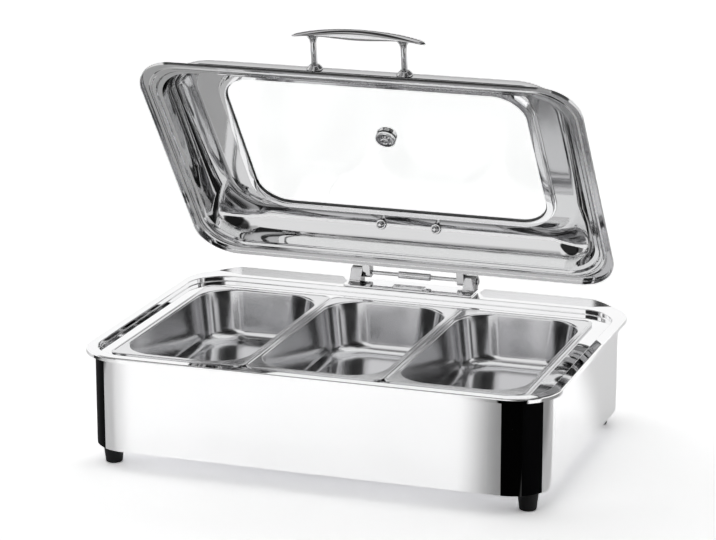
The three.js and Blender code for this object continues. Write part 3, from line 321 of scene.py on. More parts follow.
# Bottom cover. A shallow satin steel tray closes the housing from below, slotted for air and
# screwed to the posts. Only its slots and turned-up edge show, from under the dish.
def finish(name, colour, metallic, roughness, grain, relief,
           specular=0.5, rim=1, stretch=(1, 1, 1)):
    """A material whose colour and roughness drift a little over the surface, with a fine
    relief: noise of grain waves a metre, relief metres deep. A metal with a rim under 1 turns
    darker where it is seen at a grazing angle."""
    drift_scale = 14
    drift_detail = 3
    tone_drift = 0.03
    gloss_drift = 0.2
    grain_detail = 2
    material = bpy.data.materials.new(name)
    material.use_nodes = True
    tree = material.node_tree
    place = add_node(tree, "TexCoord", {})["Object"]
    drift = add_node(tree, "TexNoise", {
        "Vector": place, "Scale": drift_scale, "Detail": drift_detail,
    })["Fac"]
    dark, light = [
        [min(1, channel * factor) for channel in colour] + [1]
        for factor in (1 - tone_drift, 1 + tone_drift)
    ]
    tone = add_node(tree, "Mix", {"A": dark, "B": light, "Factor": drift}, data_type="RGBA")
    gloss = add_node(tree, "MapRange", {
        "Value": drift,
        "To Min": roughness * (1 - gloss_drift),
        "To Max": roughness * (1 + gloss_drift),
    })
    stretched = add_node(tree, "Mapping", {"Vector": place, "Scale": stretch})["Vector"]
    texture = add_node(tree, "TexNoise", {
        "Vector": stretched, "Scale": grain, "Detail": grain_detail,
    })["Fac"]
    bump = add_node(tree, "Bump", {"Height": texture, "Distance": relief})
    set_inputs(tree, tree.nodes["Principled BSDF"], {
        "Metallic": metallic,
        "Specular IOR Level": specular,
        "Specular Tint": (rim, rim, rim, 1),
        "Base Color": tone["Result"],
        "Roughness": gloss["Result"],
        "Normal": bump["Normal"],
    })
    return material


def dress(node, material):
    """A CAD node keeps its shape and takes a finish."""
    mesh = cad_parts[node].data
    if not mesh.materials:
        mesh.materials.append(material)
    for index in range(len(mesh.materials)):
        mesh.materials[index] = material


def select_only(piece):
    bpy.ops.object.select_all(action="DESELECT")
    piece.select_set(True)
    bpy.context.view_layer.objects.active = piece


def apply_modifier(piece, kind, **settings):
    select_only(piece)
    modifier = piece.modifiers.new(kind.lower(), kind)
    for key, value in settings.items():
        setattr(modifier, key, value)
    bpy.ops.object.modifier_apply(modifier=modifier.name)


smooth_angle = math.radians(35)
sharp_angle = math.radians(40)
flat_angle = math.radians(0.5)
weld_reach = 0.01 * MM


def smooth(piece):
    select_only(piece)
    bpy.ops.object.shade_smooth_by_angle(angle=smooth_angle)
    apply_modifier(piece, "WEIGHTED_NORMAL", keep_sharp=True)


def refined(node, body, material, bevel, segments=2):
    """A copy of a CAD node, welded and with its edges rounded, that stands for the node."""
    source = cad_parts[node]
    piece = source.copy()
    piece.data = source.data.copy()
    piece.parent = None
    piece.name = node + "_finished"
    # The copy isn't the node itself, so it drops the node's own tags.
    for key in list(piece.keys()):
        del piece[key]
    piece.data.materials.clear()
    piece.data.materials.append(material)
    bpy.context.scene.collection.objects.link(piece)
    select_only(piece)
    bpy.ops.object.mode_set(mode="EDIT")
    bpy.ops.mesh.select_all(action="SELECT")
    bpy.ops.mesh.remove_doubles(threshold=weld_reach)
    bpy.ops.mesh.customdata_custom_splitnormals_clear()
    bpy.ops.mesh.dissolve_limited(angle_limit=flat_angle)
    bpy.ops.object.mode_set(mode="OBJECT")
    apply_modifier(
        piece, "BEVEL", width=bevel, segments=segments, limit_method="ANGLE",
        angle_limit=sharp_angle, harden_normals=False,
    )
    smooth(piece)
    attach(piece, body)
    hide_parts(node)


cover_edge = 0.25 * MM
satin_sheet = finish("satin_sheet", (0.56, 0.56, 0.57), 1, 0.34, 900, 0.02 * MM)
refined("bottom_cover", "base", satin_sheet, cover_edge)


# Feet. Four tapered black rubber feet, each with a flange against the housing, a rounded
# tread and a hollow for its screw. They are moulded, so the edges are soft.
def start_mesh(name):
    """An empty mesh at the origin, open for modelling."""
    bpy.ops.object.select_all(action="DESELECT")
    bpy.ops.object.add(type="MESH", location=(0, 0, 0))
    piece = bpy.context.object
    piece.name = piece.data.name = name
    bpy.ops.object.mode_set(mode="EDIT")
    return piece


def finish_mesh(piece):
    bpy.ops.mesh.select_all(action="SELECT")
    bpy.ops.mesh.normals_make_consistent(inside=False)
    bpy.ops.object.mode_set(mode="OBJECT")


def select_points(piece, start, count):
    mesh = bmesh.from_edit_mesh(piece.data)
    mesh.verts.ensure_lookup_table()
    for vertex in mesh.verts[start:start + count]:
        vertex.select = True
    mesh.select_flush(True)


def turned(name, profile, sides=48, bored=False):
    """A turned piece about Z: a circle that is extruded and scaled from one (radius, height)
    pair to the next. A bored piece is closed on its first circle, any other has two caps."""
    piece = start_mesh(name)
    radius, height = profile[0]
    fill = "NOTHING" if bored else "NGON"
    bpy.ops.mesh.primitive_circle_add(
        vertices=sides, radius=radius, fill_type=fill, location=(0, 0, height)
    )
    for next_radius, next_height in profile[1:]:
        bpy.ops.mesh.extrude_region_move(
            TRANSFORM_OT_translate={"value": (0, 0, next_height - height)}
        )
        share = next_radius / radius
        bpy.ops.transform.resize(value=(share, share, 1), center_override=(0, 0, next_height))
        radius, height = next_radius, next_height
    if bored:
        select_points(piece, 0, sides)
        bpy.ops.mesh.bridge_edge_loops()
    finish_mesh(piece)
    return piece


def arc(across, height, radius, start, end, steps):
    """Points of a round edge or bend about (across, height), from start to end in degrees."""
    angles = [math.radians(start + (end - start) * i / steps) for i in range(steps + 1)]
    return [(across + radius * math.cos(a), height + radius * math.sin(a)) for a in angles]


def settle(piece, matrix, body, slot, material, *nodes):
    """Smooths a piece and puts it in its place, on its body, for the nodes it stands for."""
    smooth(piece)
    piece.data.transform(matrix)
    piece.data.materials.append(material)
    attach(piece, body)
    if nodes:
        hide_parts(*nodes)


rubber = finish("black_rubber", (0.012, 0.012, 0.013), 0, 0.6, 700, 0.05 * MM, specular=0.25)
foot_top_radius = 13.5 * MM
foot_low_radius = 10.5 * MM
foot_flange = 3 * MM
foot_round = 1.6 * MM
foot_edge = 0.6 * MM
foot_shoulder = foot_top_radius - foot_edge
hollow_radius = 5 * MM
hollow_depth = 9 * MM
for end in ("front", "rear"):
    for side in ("left", "right"):
        low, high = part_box(f"foot_{end}_{side}")
        centre = (low + high) / 2
        foot_top = high.z
        flange_low = foot_top - foot_flange
        foot = turned(f"rubber_foot_{end}_{side}", [
            (hollow_radius, hollow_depth),
            (hollow_radius, foot_edge),
            (hollow_radius + foot_edge, 0),
            *arc(foot_low_radius - foot_round, foot_round, foot_round, -90, 0, 5),
            (foot_shoulder, flange_low),
            *arc(foot_shoulder, flange_low + foot_edge, foot_edge, -60, 0, 3),
            (foot_top_radius, foot_top - foot_edge),
            (foot_shoulder, foot_top),
        ])
        settle(foot, Matrix.Translation((centre.x, centre.y, 0)), "base", "foot_rubber", rubber,
               f"foot_{end}_{side}")


# Housing wall. Four panels of mirror-polished sheet, bent round the corners as far as the
# posts, and four black moulded posts that stand flush between them.
def add_ring(half_x, front, rear, corner, height, steps):
    """In edit mode: a flat loop with four round corners."""
    middle = (0, (front + rear) / 2, height)
    bpy.ops.mesh.primitive_plane_add(size=1, location=middle)
    bpy.ops.transform.resize(value=(2 * half_x, rear - front, 1), center_override=middle)
    bpy.ops.mesh.bevel(affect="VERTICES", offset=corner, segments=steps)
    bpy.ops.mesh.delete(type="ONLY_FACE")


def skin(piece, first, second, count):
    """Joins two flat loops of count vertices, corner to corner, given where each starts."""
    mesh = bmesh.from_edit_mesh(piece.data)
    mesh.verts.ensure_lookup_table()
    pair = []
    for start in (first, second):
        loop = mesh.verts[start:start + count]
        middle = sum((vertex.co for vertex in loop), Vector()) / count
        pair.append(sorted(
            loop, key=lambda v: math.atan2(v.co.y - middle.y, v.co.x - middle.x)
        ))
    low, high = pair
    for index in range(count):
        mesh.faces.new((low[index - 1], low[index], high[index], high[index - 1]))
    bmesh.update_edit_mesh(piece.data)


def cap(piece, start, count):
    bpy.ops.mesh.select_all(action="DESELECT")
    select_points(piece, start, count)
    bpy.ops.mesh.edge_face_add()


def pressed(name, rings, steps=16, closed=True, capped=True):
    """A pressing through a row of rounded loops. A closed one joins its last loop to its
    first, as a frame does; an open one has a floor at both ends, if it is capped."""
    piece = start_mesh(name)
    count = 4 * (steps + 1)
    for number, ring in enumerate(rings):
        bpy.ops.mesh.select_all(action="DESELECT")
        add_ring(*ring, steps)
        if number:
            skin(piece, (number - 1) * count, number * count, count)
    last = (len(rings) - 1) * count
    if closed:
        skin(piece, last, 0, count)
    elif capped:
        cap(piece, 0, count)
        cap(piece, last, count)
    finish_mesh(piece)
    return piece


polished = finish("polished_steel", (0.94, 0.94, 0.945), 1, 0.035, 9, 0.015 * MM)
post_plastic = finish(
    "black_post_plastic", (0.003, 0.003, 0.0035), 0, 0.4, 500, 0.01 * MM, specular=0.02
)
front_low, front_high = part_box("front_panel")
housing_half_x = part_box("right_panel")[1].x
housing_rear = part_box("rear_panel")[1].y
housing_corner = 50 * MM
wall_sheet = 1 * MM
post_wall = 3.4 * MM
post_edge = 0.5 * MM
post_edge_segments = 3
post_half_degrees = 16
corner_degrees = 45
degree_steps = 90
wall = pressed("housing_wall", [
    (housing_half_x, front_low.y, housing_rear, housing_corner, height)
    for height in (front_low.z, front_high.z)
], steps=degree_steps, closed=False, capped=False)
select_only(wall)
bpy.ops.object.mode_set(mode="EDIT")
bpy.ops.mesh.select_mode(type="FACE")
bpy.ops.mesh.select_all(action="DESELECT")
mesh = bmesh.from_edit_mesh(wall.data)
for face in mesh.faces:
    lean = math.degrees(math.atan2(abs(face.normal.y), abs(face.normal.x)))
    face.select = abs(lean - corner_degrees) < post_half_degrees
bmesh.update_edit_mesh(wall.data)
bpy.ops.mesh.separate(type="SELECTED")
bpy.ops.mesh.select_mode(type="VERT")
bpy.ops.object.mode_set(mode="OBJECT")
posts = [o for o in bpy.context.selected_objects if o != wall][0]


def loose_pieces(piece):
    select_only(piece)
    bpy.ops.object.mode_set(mode="EDIT")
    bpy.ops.mesh.separate(type="LOOSE")
    bpy.ops.object.mode_set(mode="OBJECT")
    return list(bpy.context.selected_objects)


def middle_of(piece):
    corners = [Vector(corner) for corner in piece.bound_box]
    return sum(corners, Vector()) / len(corners)


for panel in loose_pieces(wall):
    place = middle_of(panel)
    if abs(place.x) > housing_half_x / 2:
        side = "right" if place.x > 0 else "left"
    else:
        side = "rear" if place.y > 0 else "front"
    panel.name = panel.data.name = f"{side}_wall_panel"
    apply_modifier(panel, "SOLIDIFY", thickness=wall_sheet, offset=-1)
    settle(panel, Matrix(), "base", "housing_steel", polished, f"{side}_panel")

for post in loose_pieces(posts):
    place = middle_of(post)
    corner = ("rear" if place.y > 0 else "front") + ("_right" if place.x > 0 else "_left")
    post.name = post.data.name = f"black_post_{corner}"
    apply_modifier(post, "SOLIDIFY", thickness=post_wall, offset=-1)
    apply_modifier(
        post, "BEVEL", width=post_edge, segments=post_edge_segments, angle_limit=sharp_angle
    )
    settle(post, Matrix(), "base", "post_plastic", post_plastic, f"corner_post_{corner}")


# Top frame. One polished steel pressing: a rolled rim over the wall, a recess that takes the
# lid, a ledge for the pans and a deck behind for the hinge, with an upstand along its edge.
frame_low, frame_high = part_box("top_frame")
upstand = 5.5 * MM
rim_top = frame_high.z - upstand
rim_half_x = frame_high.x
rim_front = frame_low.y
rim_rear = frame_high.y
rim_corner = 61 * MM
rim_lip = 6 * MM
rim_roll = 2.2 * MM
side_band = 14 * MM
front_band = 13.5 * MM
deck_depth = 33.5 * MM
recess_half_x = rim_half_x - side_band
recess_front = rim_front + front_band
recess_rear = rim_rear - deck_depth
recess_corner = 49 * MM
ledge_top = 141.4 * MM
mouth_corner = 42 * MM
sheet = 1 * MM
bend = 1.2 * MM
pans_half_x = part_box("food_pan_right")[1].x
pan_low, pan_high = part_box("food_pan_centre")
ledge_under_side = 5 * MM
ledge_under_end = 7 * MM
mouth_half_x = pans_half_x - ledge_under_side
mouth_front = pan_low.y + ledge_under_end
mouth_rear = pan_high.y - ledge_under_end


def rim_ring(inset, height):
    return (rim_half_x - inset, rim_front + inset, rim_rear - inset, rim_corner - inset, height)


def recess_ring(inset, height):
    return (recess_half_x - inset, recess_front + inset, recess_rear - inset,
            recess_corner - inset, height)


# A bend's pairs are (inset, height), and 0 degrees points inward.
rim_bend = arc(rim_roll, rim_top - rim_roll, rim_roll, 180, 90, 6)
recess_bends = arc(-bend, rim_top - bend, bend, 90, 0, 4)
recess_bends += arc(bend, ledge_top + bend, bend, 180, 270, 4)
top = pressed("top_frame_pressing", [
    rim_ring(0, rim_top - rim_lip),
    *[rim_ring(*pair) for pair in rim_bend],
    *[recess_ring(*pair) for pair in recess_bends],
    (mouth_half_x, mouth_front, mouth_rear, mouth_corner, ledge_top),
    (mouth_half_x, mouth_front, mouth_rear, mouth_corner, ledge_top - sheet),
    recess_ring(-sheet / 2, ledge_top - sheet),
    recess_ring(-sheet, ledge_top - sheet / 2),
    recess_ring(-sheet, rim_top - sheet),
    rim_ring(rim_roll, rim_top - sheet),
    rim_ring(sheet, rim_top - rim_roll),
    rim_ring(sheet, rim_top - rim_lip),
], steps=20)
settle(top, Matrix(), "base", "frame_steel", polished, "top_frame")

# The upstand is a thin strip along the back of the rim, brushed where the rest is polished, in
# two halves beside the hinge. It ramps up next to the hinge and fades round the rear corners.
def bridge(piece, first, second, count):
    """Joins two loops of count vertices that stand one behind the other."""
    bpy.ops.mesh.select_all(action="DESELECT")
    select_points(piece, first, count)
    select_points(piece, second, count)
    bpy.ops.mesh.bridge_edge_loops()


strip_sheet = 1.2 * MM
strip_start = 92 * MM
strip_ramp = 6 * MM
strip_end_degrees = 58
strip_fade_degrees = 30
strip_satin = finish("brushed_upstand_steel", (0.94, 0.94, 0.945), 1, 0.24, 300, 0.005 * MM)
strip_steps = 14
strip_sides = 4
strip_sink = 0.4 * MM
strip_least = 0.1 * MM
strip_edge = 0.3 * MM
for side, turn in (("left", -1), ("right", 1)):
    straight_end = rim_half_x - rim_corner
    stations = [
        (strip_start, rim_rear, 0, 1, 0),
        (strip_start + strip_ramp, rim_rear, 0, 1, 1),
        (straight_end, rim_rear, 0, 1, 1),
    ]
    for step in range(1, strip_steps + 1):
        degrees = 90 - (90 - strip_end_degrees) * step / strip_steps
        nx, ny = math.cos(math.radians(degrees)), math.sin(math.radians(degrees))
        share = min(1, (degrees - strip_end_degrees) / strip_fade_degrees)
        x = straight_end + rim_corner * nx
        y = rim_rear - rim_corner + rim_corner * ny
        stations.append((x, y, nx, ny, share))
    strip = start_mesh(f"rear_upstand_{side}")
    for number, (x, y, nx, ny, share) in enumerate(stations):
        bpy.ops.mesh.select_all(action="DESELECT")
        high = rim_top + (upstand - strip_least) * share + strip_least
        low = rim_top - strip_sink
        outer = Vector((turn * (x - nx * rim_roll), y - ny * rim_roll, (low + high) / 2))
        inward = Vector((-turn * nx, -ny, 0))
        middle = outer + inward * strip_sheet / 2
        bpy.ops.mesh.primitive_plane_add(size=1, location=(0, 0, 0))
        bpy.ops.mesh.delete(type="ONLY_FACE")
        mesh = bmesh.from_edit_mesh(strip.data)
        mesh.verts.ensure_lookup_table()
        for vertex in mesh.verts[-strip_sides:]:
            flat = vertex.co.copy()
            upward = Vector((0, 0, flat.y * (high - low)))
            vertex.co = middle + inward * flat.x * strip_sheet + upward
        bmesh.update_edit_mesh(strip.data)
        if number:
            bridge(strip, (number - 1) * strip_sides, number * strip_sides, strip_sides)
    cap(strip, 0, strip_sides)
    cap(strip, (len(stations) - 1) * strip_sides, strip_sides)
    finish_mesh(strip)
    apply_modifier(strip, "BEVEL", width=strip_edge, segments=2, angle_limit=sharp_angle)
    settle(strip, Matrix(), "base", "frame_steel", strip_satin)


# Water pan. A deep satin steel pan hangs in the frame under the food pans. Its flange lies
# between the ledge and theirs, and its element is clamped under its floor.
def drawn_pan(name, mouth, flange, flange_top, depth, wall, taper, mouth_round, floor_round, edge):
    """A drawn pan from its inner floor up, over its flange and down its outside.
    mouth and flange are functions of (inset, height). edge lists the flange's own pairs."""
    floor_z = flange_top - depth
    inside = arc(taper + floor_round, floor_z + floor_round, floor_round, 270, 180, 7)
    over = arc(-mouth_round, flange_top - mouth_round, mouth_round, 0, 90, 5)
    under = arc(-mouth_round, flange_top - mouth_round, mouth_round - wall, 90, 0, 3)
    outside = arc(taper + floor_round, floor_z + floor_round, floor_round + wall, 180, 270, 5)
    rings = [mouth(*pair) for pair in inside + over]
    rings += [flange(*pair) for pair in edge]
    rings += [mouth(*pair) for pair in under + outside]
    return pressed(name, rings, closed=False)


pan_satin = finish("satin_pan_steel", (0.75, 0.75, 0.76), 1, 0.15, 1400, 0.004 * MM)
water_wall = 0.9 * MM
water_gap = 0.7 * MM
water_taper = 5 * MM
water_mouth_round = 3 * MM
water_floor_round = 14 * MM
pan_corner = 12 * MM
water_low, water_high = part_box("water_pan")
water_depth = water_high.z - water_low.z - water_wall


def water_mouth(inset, height):
    inset += water_wall + water_gap
    return (mouth_half_x - inset, mouth_front + inset, mouth_rear - inset, mouth_corner, height)


def pans_outline(inset, height):
    return (pans_half_x - inset, pan_low.y + inset, pan_high.y - inset, pan_corner, height)


water = drawn_pan(
    "water_pan_drawn", water_mouth, pans_outline, water_high.z, water_depth, water_wall,
    water_taper, water_mouth_round, water_floor_round,
    [(0, water_high.z), (0, water_high.z - water_wall)],
)
settle(water, Matrix(), "base", "pan_steel", pan_satin, "water_pan")


# Heating parts. A sheathed tube in a serpentine, two straps, the cutout under the pan's floor,
# an aluminium reflector and the block that the leads meet at. All are inside the housing.
tube_steel = finish("heat_tinted_tube", (0.33, 0.29, 0.25), 1, 0.36, 600, 0.02 * MM)
reflector_sheet = finish(
    "mill_aluminium", (0.72, 0.73, 0.74), 1, 0.38, 300, 0.02 * MM, stretch=(1, 12, 1)
)
control_plastic = finish(
    "control_plastic", (0.022, 0.022, 0.024), 0, 0.5, 900, 0.03 * MM, specular=0.35
)
ceramic = finish("glazed_ceramic", (0.8, 0.78, 0.72), 0, 0.25, 200, 0.03 * MM)
dress("heating_element", tube_steel)
dress("element_clamp_left", satin_sheet)
dress("element_clamp_right", satin_sheet)
dress("heat_reflector", reflector_sheet)
dress("thermal_cutout", control_plastic)
dress("terminal_block", ceramic)


# Food pans. Three drawn satin pans side by side, each with a raised bead round its flange and
# a turned-down edge. They lift out. One is modelled, the other two are copies.
pan_flange_side = 8.6 * MM
pan_flange_end = 10.4 * MM
pan_mouth_corner = 46 * MM
pan_depth = 64.4 * MM
pan_taper = 7 * MM
pan_mouth_round = 2.4 * MM
pan_floor_round = 14 * MM
pan_bead = 3.2 * MM
pan_bead_rise = 0.6 * MM
bead_foot = 0.5 * MM
bead_crown = 0.4 * MM
bead_ease = 0.08 * MM
pan_edge_drop = 2.6 * MM
pan_edge_round = 0.9 * MM
pan_wall = 0.8 * MM
pan_top = pan_high.z
pan_half_x = pan_high.x
pan_flange_top = pan_top - pan_bead_rise


def pan_mouth(inset, height):
    return (pan_half_x - pan_flange_side - inset, pan_low.y + pan_flange_end + inset,
            pan_high.y - pan_flange_end - inset, pan_mouth_corner - inset / 3, height)


def pan_outline(inset, height):
    return (pan_half_x - inset, pan_low.y + inset, pan_high.y - inset,
            pan_corner - inset / 2, height)


pan_edge = [
    (pan_bead + bead_foot, pan_flange_top),
    (pan_bead, pan_flange_top + bead_ease),
    (pan_bead - pan_bead_rise, pan_top - bead_ease),
    (pan_bead - pan_bead_rise - bead_crown, pan_top),
    *arc(pan_edge_round, pan_top - pan_edge_round, pan_edge_round, 90, 180, 5),
    (0, pan_top - pan_edge_drop),
    (pan_wall, pan_top - pan_edge_drop),
    (pan_wall, pan_flange_top - pan_wall),
]
first_pan = drawn_pan(
    "drawn_food_pan_centre", pan_mouth, pan_outline, pan_flange_top, pan_depth, pan_wall,
    pan_taper, pan_mouth_round, pan_floor_round, pan_edge,
)
for side in ("left", "right"):
    pan = first_pan.copy()
    pan.data = first_pan.data.copy()
    pan.name = pan.data.name = f"drawn_food_pan_{side}"
    bpy.context.scene.collection.objects.link(pan)
    low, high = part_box(f"food_pan_{side}")
    settle(pan, Matrix.Translation(((low.x + high.x) / 2, 0, 0)), f"food_pan_{side}",
           "pan_steel", pan_satin, f"food_pan_{side}")
settle(first_pan, Matrix(), "food_pan_centre", "pan_steel", pan_satin, "food_pan_centre")


# Hinge, fixed half. A polished base plate and a small cover plate on the deck, and two chromed
# posts whose round eyes carry the shaft. Small domed screws hold both plates down.
def dome(radius, foot, rise, steps=6):
    """Points of a turned dome over a foot, from its first step up to its last but one."""
    angles = [math.radians(90 * i / steps) for i in range(1, steps)]
    return [(radius * math.cos(a), foot + rise * math.sin(a)) for a in angles]


chrome = finish("bright_chrome", (0.74, 0.74, 0.745), 1, 0.05, 20, 0.02 * MM, rim=0.05)
plate_edge = 0.4 * MM
hinge_edge = 0.5 * MM
edge_segments = 3
refined("hinge_base_plate", "base", polished, plate_edge, edge_segments)
refined("hinge_cover_plate", "base", polished, hinge_edge, edge_segments)
for node in ("hinge_post_left", "hinge_post_right"):
    refined(node, "base", chrome, hinge_edge, edge_segments)

screw_head_radius = 3 * MM
screw_head_edge = 0.4 * MM
screw_head_height = 1.5 * MM
screw_inset = 7 * MM
plate_low, plate_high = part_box("hinge_base_plate")
cover_low, cover_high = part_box("hinge_cover_plate")
plate_y = (plate_low.y + cover_high.y) / 2
cover_y = (cover_low.y + cover_high.y) / 2
screw_places = {
    "left": (plate_low.x + screw_inset, plate_y, plate_high.z),
    "right": (plate_high.x - screw_inset, plate_y, plate_high.z),
    "cover_left": (cover_low.x + screw_inset, cover_y, cover_high.z),
    "cover_right": (cover_high.x - screw_inset, cover_y, cover_high.z),
}
for name, place in screw_places.items():
    head = turned(f"hinge_plate_screw_{name}", [
        (screw_head_radius, 0),
        (screw_head_radius, screw_head_edge),
        *dome(screw_head_radius, screw_head_edge, screw_head_height - screw_head_edge),
    ], sides=32)
    settle(head, Matrix.Translation(place), "base", "hardware_steel", chrome)


# Lid shell. One polished steel pressing: a rolled edge, a flat flange with a shallow rib, a
# small bead, a domed wall and a flat top with the window's opening. It is modelled shut and
# turned up to its place.
pivot = Vector((0, 211 * MM, 160.5 * MM))
open_angle = math.radians(52.6)
opened = (
    Matrix.Translation(pivot)
    @ Matrix.Rotation(-open_angle, 4, "X")
    @ Matrix.Translation(-pivot)
)
lid_side_gap = 3.5 * MM
lid_front_gap = 1.2 * MM
lid_rear_gap = 2.3 * MM
lid_rest_gap = 0.3 * MM
lid_edge_height = 5.8 * MM
lid_half_x = recess_half_x - lid_side_gap
lid_front = recess_front + lid_front_gap
lid_rear = recess_rear - lid_rear_gap
lid_low = ledge_top + lid_rest_gap
lid_flange_top = lid_low + lid_edge_height
lid_roll = 1.6 * MM
lid_flange = 15 * MM
rib_middle = 10.2 * MM
rib_half = 2.6 * MM
rib_depth = 0.9 * MM
rib_steps = 10
bead_run = 1.5 * MM
bead_rise = 2.5 * MM
dome_foot = lid_flange_top + bead_rise
dome_inset = 21 * MM
dome_run = 31 * MM
dome_rise = 41.5 * MM
dome_steps = 18
lid_corner = 50 * MM
dome_corner = 56 * MM
window_half_x = 196 * MM
window_length = 243 * MM
window_setback = 65 * MM
window_rear = lid_rear - window_setback
window_front = window_rear - window_length
window_corner = 40 * MM
window_edge = 0.4 * MM
window_edge_drop = 0.3 * MM
lid_sheet = 1 * MM


def lid_ring(inset, height):
    corner = lid_corner + (dome_corner - lid_corner) * inset / (dome_inset + dome_run)
    return (lid_half_x - inset, lid_front + inset, lid_rear - inset, corner, height)


def window_ring(offset, height):
    return (window_half_x + offset, window_front - offset, window_rear + offset,
            window_corner + offset, height)


def dome_normal(degrees):
    """How far the domed wall's normal points outward and how far up, in no set length."""
    return math.cos(math.radians(degrees)) / dome_run, math.sin(math.radians(degrees)) / dome_rise


def dome_pair(degrees, depth=0):
    """A point of the domed wall, depth below its skin, as (inset, height)."""
    out, up = dome_normal(degrees)
    size = math.hypot(out, up)
    inset = dome_inset + dome_run * (1 - math.cos(math.radians(degrees)))
    height = dome_foot + dome_rise * math.sin(math.radians(degrees))
    return inset + depth * out / size, height - depth * up / size


def flange_rib(surface):
    """(inset, height) pairs across the shallow rib in the flange, from its outer side in."""
    pairs = []
    for step in range(rib_steps + 1):
        along = 2 * step / rib_steps - 1
        drop = rib_depth * (1 + math.cos(math.pi * along)) / 2
        pairs.append((rib_middle + rib_half * along, surface - drop))
    return pairs


# The shell goes up the outside, through the window's opening and down the inside. The bead's
# corners are eased with a few (inset, height) pairs each.
bead_end = lid_flange + bead_run
shell_top = dome_foot + dome_rise
inner_flange = lid_flange_top - lid_sheet
inner_foot = dome_foot - lid_sheet
outer_bead = [
    (lid_flange - 0.4 * MM, lid_flange_top),
    (lid_flange, lid_flange_top + 0.25 * MM),
    (bead_end, dome_foot - 0.3 * MM),
    (bead_end + 0.5 * MM, dome_foot),
    (dome_inset - 0.8 * MM, dome_foot),
    (dome_inset - 0.2 * MM, dome_foot + 0.3 * MM),
]
inner_bead = [
    (dome_inset + 0.6 * MM, inner_foot + 0.2 * MM),
    (dome_inset - 0.2 * MM, inner_foot),
    (bead_end + 0.9 * MM, inner_foot),
    (bead_end + 0.4 * MM, inner_foot - 0.4 * MM),
    (lid_flange + 0.6 * MM, inner_flange + 0.3 * MM),
    (lid_flange - 0.1 * MM, inner_flange),
]
outer_edge = arc(lid_roll, lid_flange_top - lid_roll, lid_roll, 180, 90, 5)
outer_dome = [dome_pair(90 * i / dome_steps) for i in range(1, dome_steps + 1)]
inner_dome = [dome_pair(90 * i / dome_steps, lid_sheet) for i in range(dome_steps, 0, -1)]
outer_rib = flange_rib(lid_flange_top)
inner_rib = flange_rib(inner_flange)[::-1]
inner_edge = [(lid_roll, inner_flange), (lid_sheet, lid_flange_top - lid_roll), (lid_sheet, lid_low)]
outside = [(0, lid_low), *outer_edge, *outer_rib, *outer_bead, *outer_dome]
inside = [*inner_dome, *inner_bead, *inner_rib, *inner_edge]
shell = pressed("lid_shell_pressing", [
    *[lid_ring(*pair) for pair in outside],
    window_ring(window_edge, shell_top),
    window_ring(0, shell_top - window_edge_drop),
    window_ring(0, shell_top - lid_sheet),
    *[lid_ring(*pair) for pair in inside],
], steps=20)
# The lid takes the housing's polished steel set darker and with a darker rim: partly steel's true
# lower reflectance, partly painted shade that darkens the inside of the lid.
lid_steel = finish("lid_steel_painted_darker", (0.7, 0.7, 0.705), 1, 0.05, 9, 0.008 * MM, rim=0.55)
settle(shell, opened, "lid", "lid_steel", lid_steel, "lid_shell")


# Window. Tempered glass lies against a thin black seal under the skin, and a polished frame
# that is welded to the skin inside holds its edge.
fit_gap = 0.3 * MM
seal_height = 1.2 * MM
glass_sheet = 4 * MM
seal_top = shell_top - lid_sheet - fit_gap
glass_top = seal_top - seal_height - fit_gap
glass_low = glass_top - glass_sheet
holder_top = glass_low - fit_gap
dress("glass_seal", rubber)

# The frame's section is a Z, given by how far it reaches past the window's opening.
holder_lap = 0.8 * MM
holder_step = 8.2 * MM
holder_reach = 12.4 * MM
holder_sheet = 1 * MM
holder_edge = 0.3 * MM
holder_crease = 0.5 * MM
holder_bend = 0.6 * MM
bend_middle = 0.2 * MM
holder_lip = 0.5 * MM
lip_middle = 0.15 * MM
holder_back = holder_step + holder_sheet
holder_low = holder_top - holder_sheet
weld_low = seal_top - holder_sheet
window_frame = pressed("window_retaining_frame", [
    window_ring(holder_lap, holder_top),
    window_ring(holder_step, holder_top),
    window_ring(holder_step, seal_top),
    window_ring(holder_reach, seal_top),
    window_ring(holder_reach, weld_low + holder_edge),
    window_ring(holder_reach - holder_edge, weld_low),
    window_ring(holder_back + holder_crease, weld_low),
    window_ring(holder_back, weld_low - holder_crease),
    window_ring(holder_back, holder_low + holder_bend),
    window_ring(holder_back - bend_middle, holder_low + bend_middle),
    window_ring(holder_back - holder_bend, holder_low),
    window_ring(holder_lap + holder_lip, holder_low),
    window_ring(holder_lap + lip_middle, holder_low + lip_middle),
    window_ring(holder_lap, holder_low + holder_lip),
])
settle(window_frame, opened, "lid", "lid_steel", polished, "window_frame")

glass_bend = 1.45
tint_scale = 6
glass = bpy.data.materials.new("clear_tempered_glass")
glass.use_nodes = True
tree = glass.node_tree
place = add_node(tree, "TexCoord", {})["Object"]
tint = add_node(tree, "TexNoise", {"Vector": place, "Scale": tint_scale})["Fac"]
glass_tint = add_node(tree, "Mix", {
    "A": (0.985, 0.995, 0.99, 1), "B": (0.995, 1, 0.998, 1), "Factor": tint,
}, data_type="RGBA")["Result"]
set_inputs(tree, tree.nodes["Principled BSDF"], {
    "Base Color": glass_tint, "Transmission Weight": 1, "IOR": glass_bend, "Roughness": 0,
})
glass_reach = 7.6 * MM
glass_edge = 0.5 * MM
pane = pressed("window_pane", [
    window_ring(glass_reach - glass_edge, glass_low),
    window_ring(glass_reach, glass_low + glass_edge),
    window_ring(glass_reach, glass_top - glass_edge),
    window_ring(glass_reach - glass_edge, glass_top),
], closed=False)
settle(pane, opened, "lid", "window_glass", glass, "lid_glass")


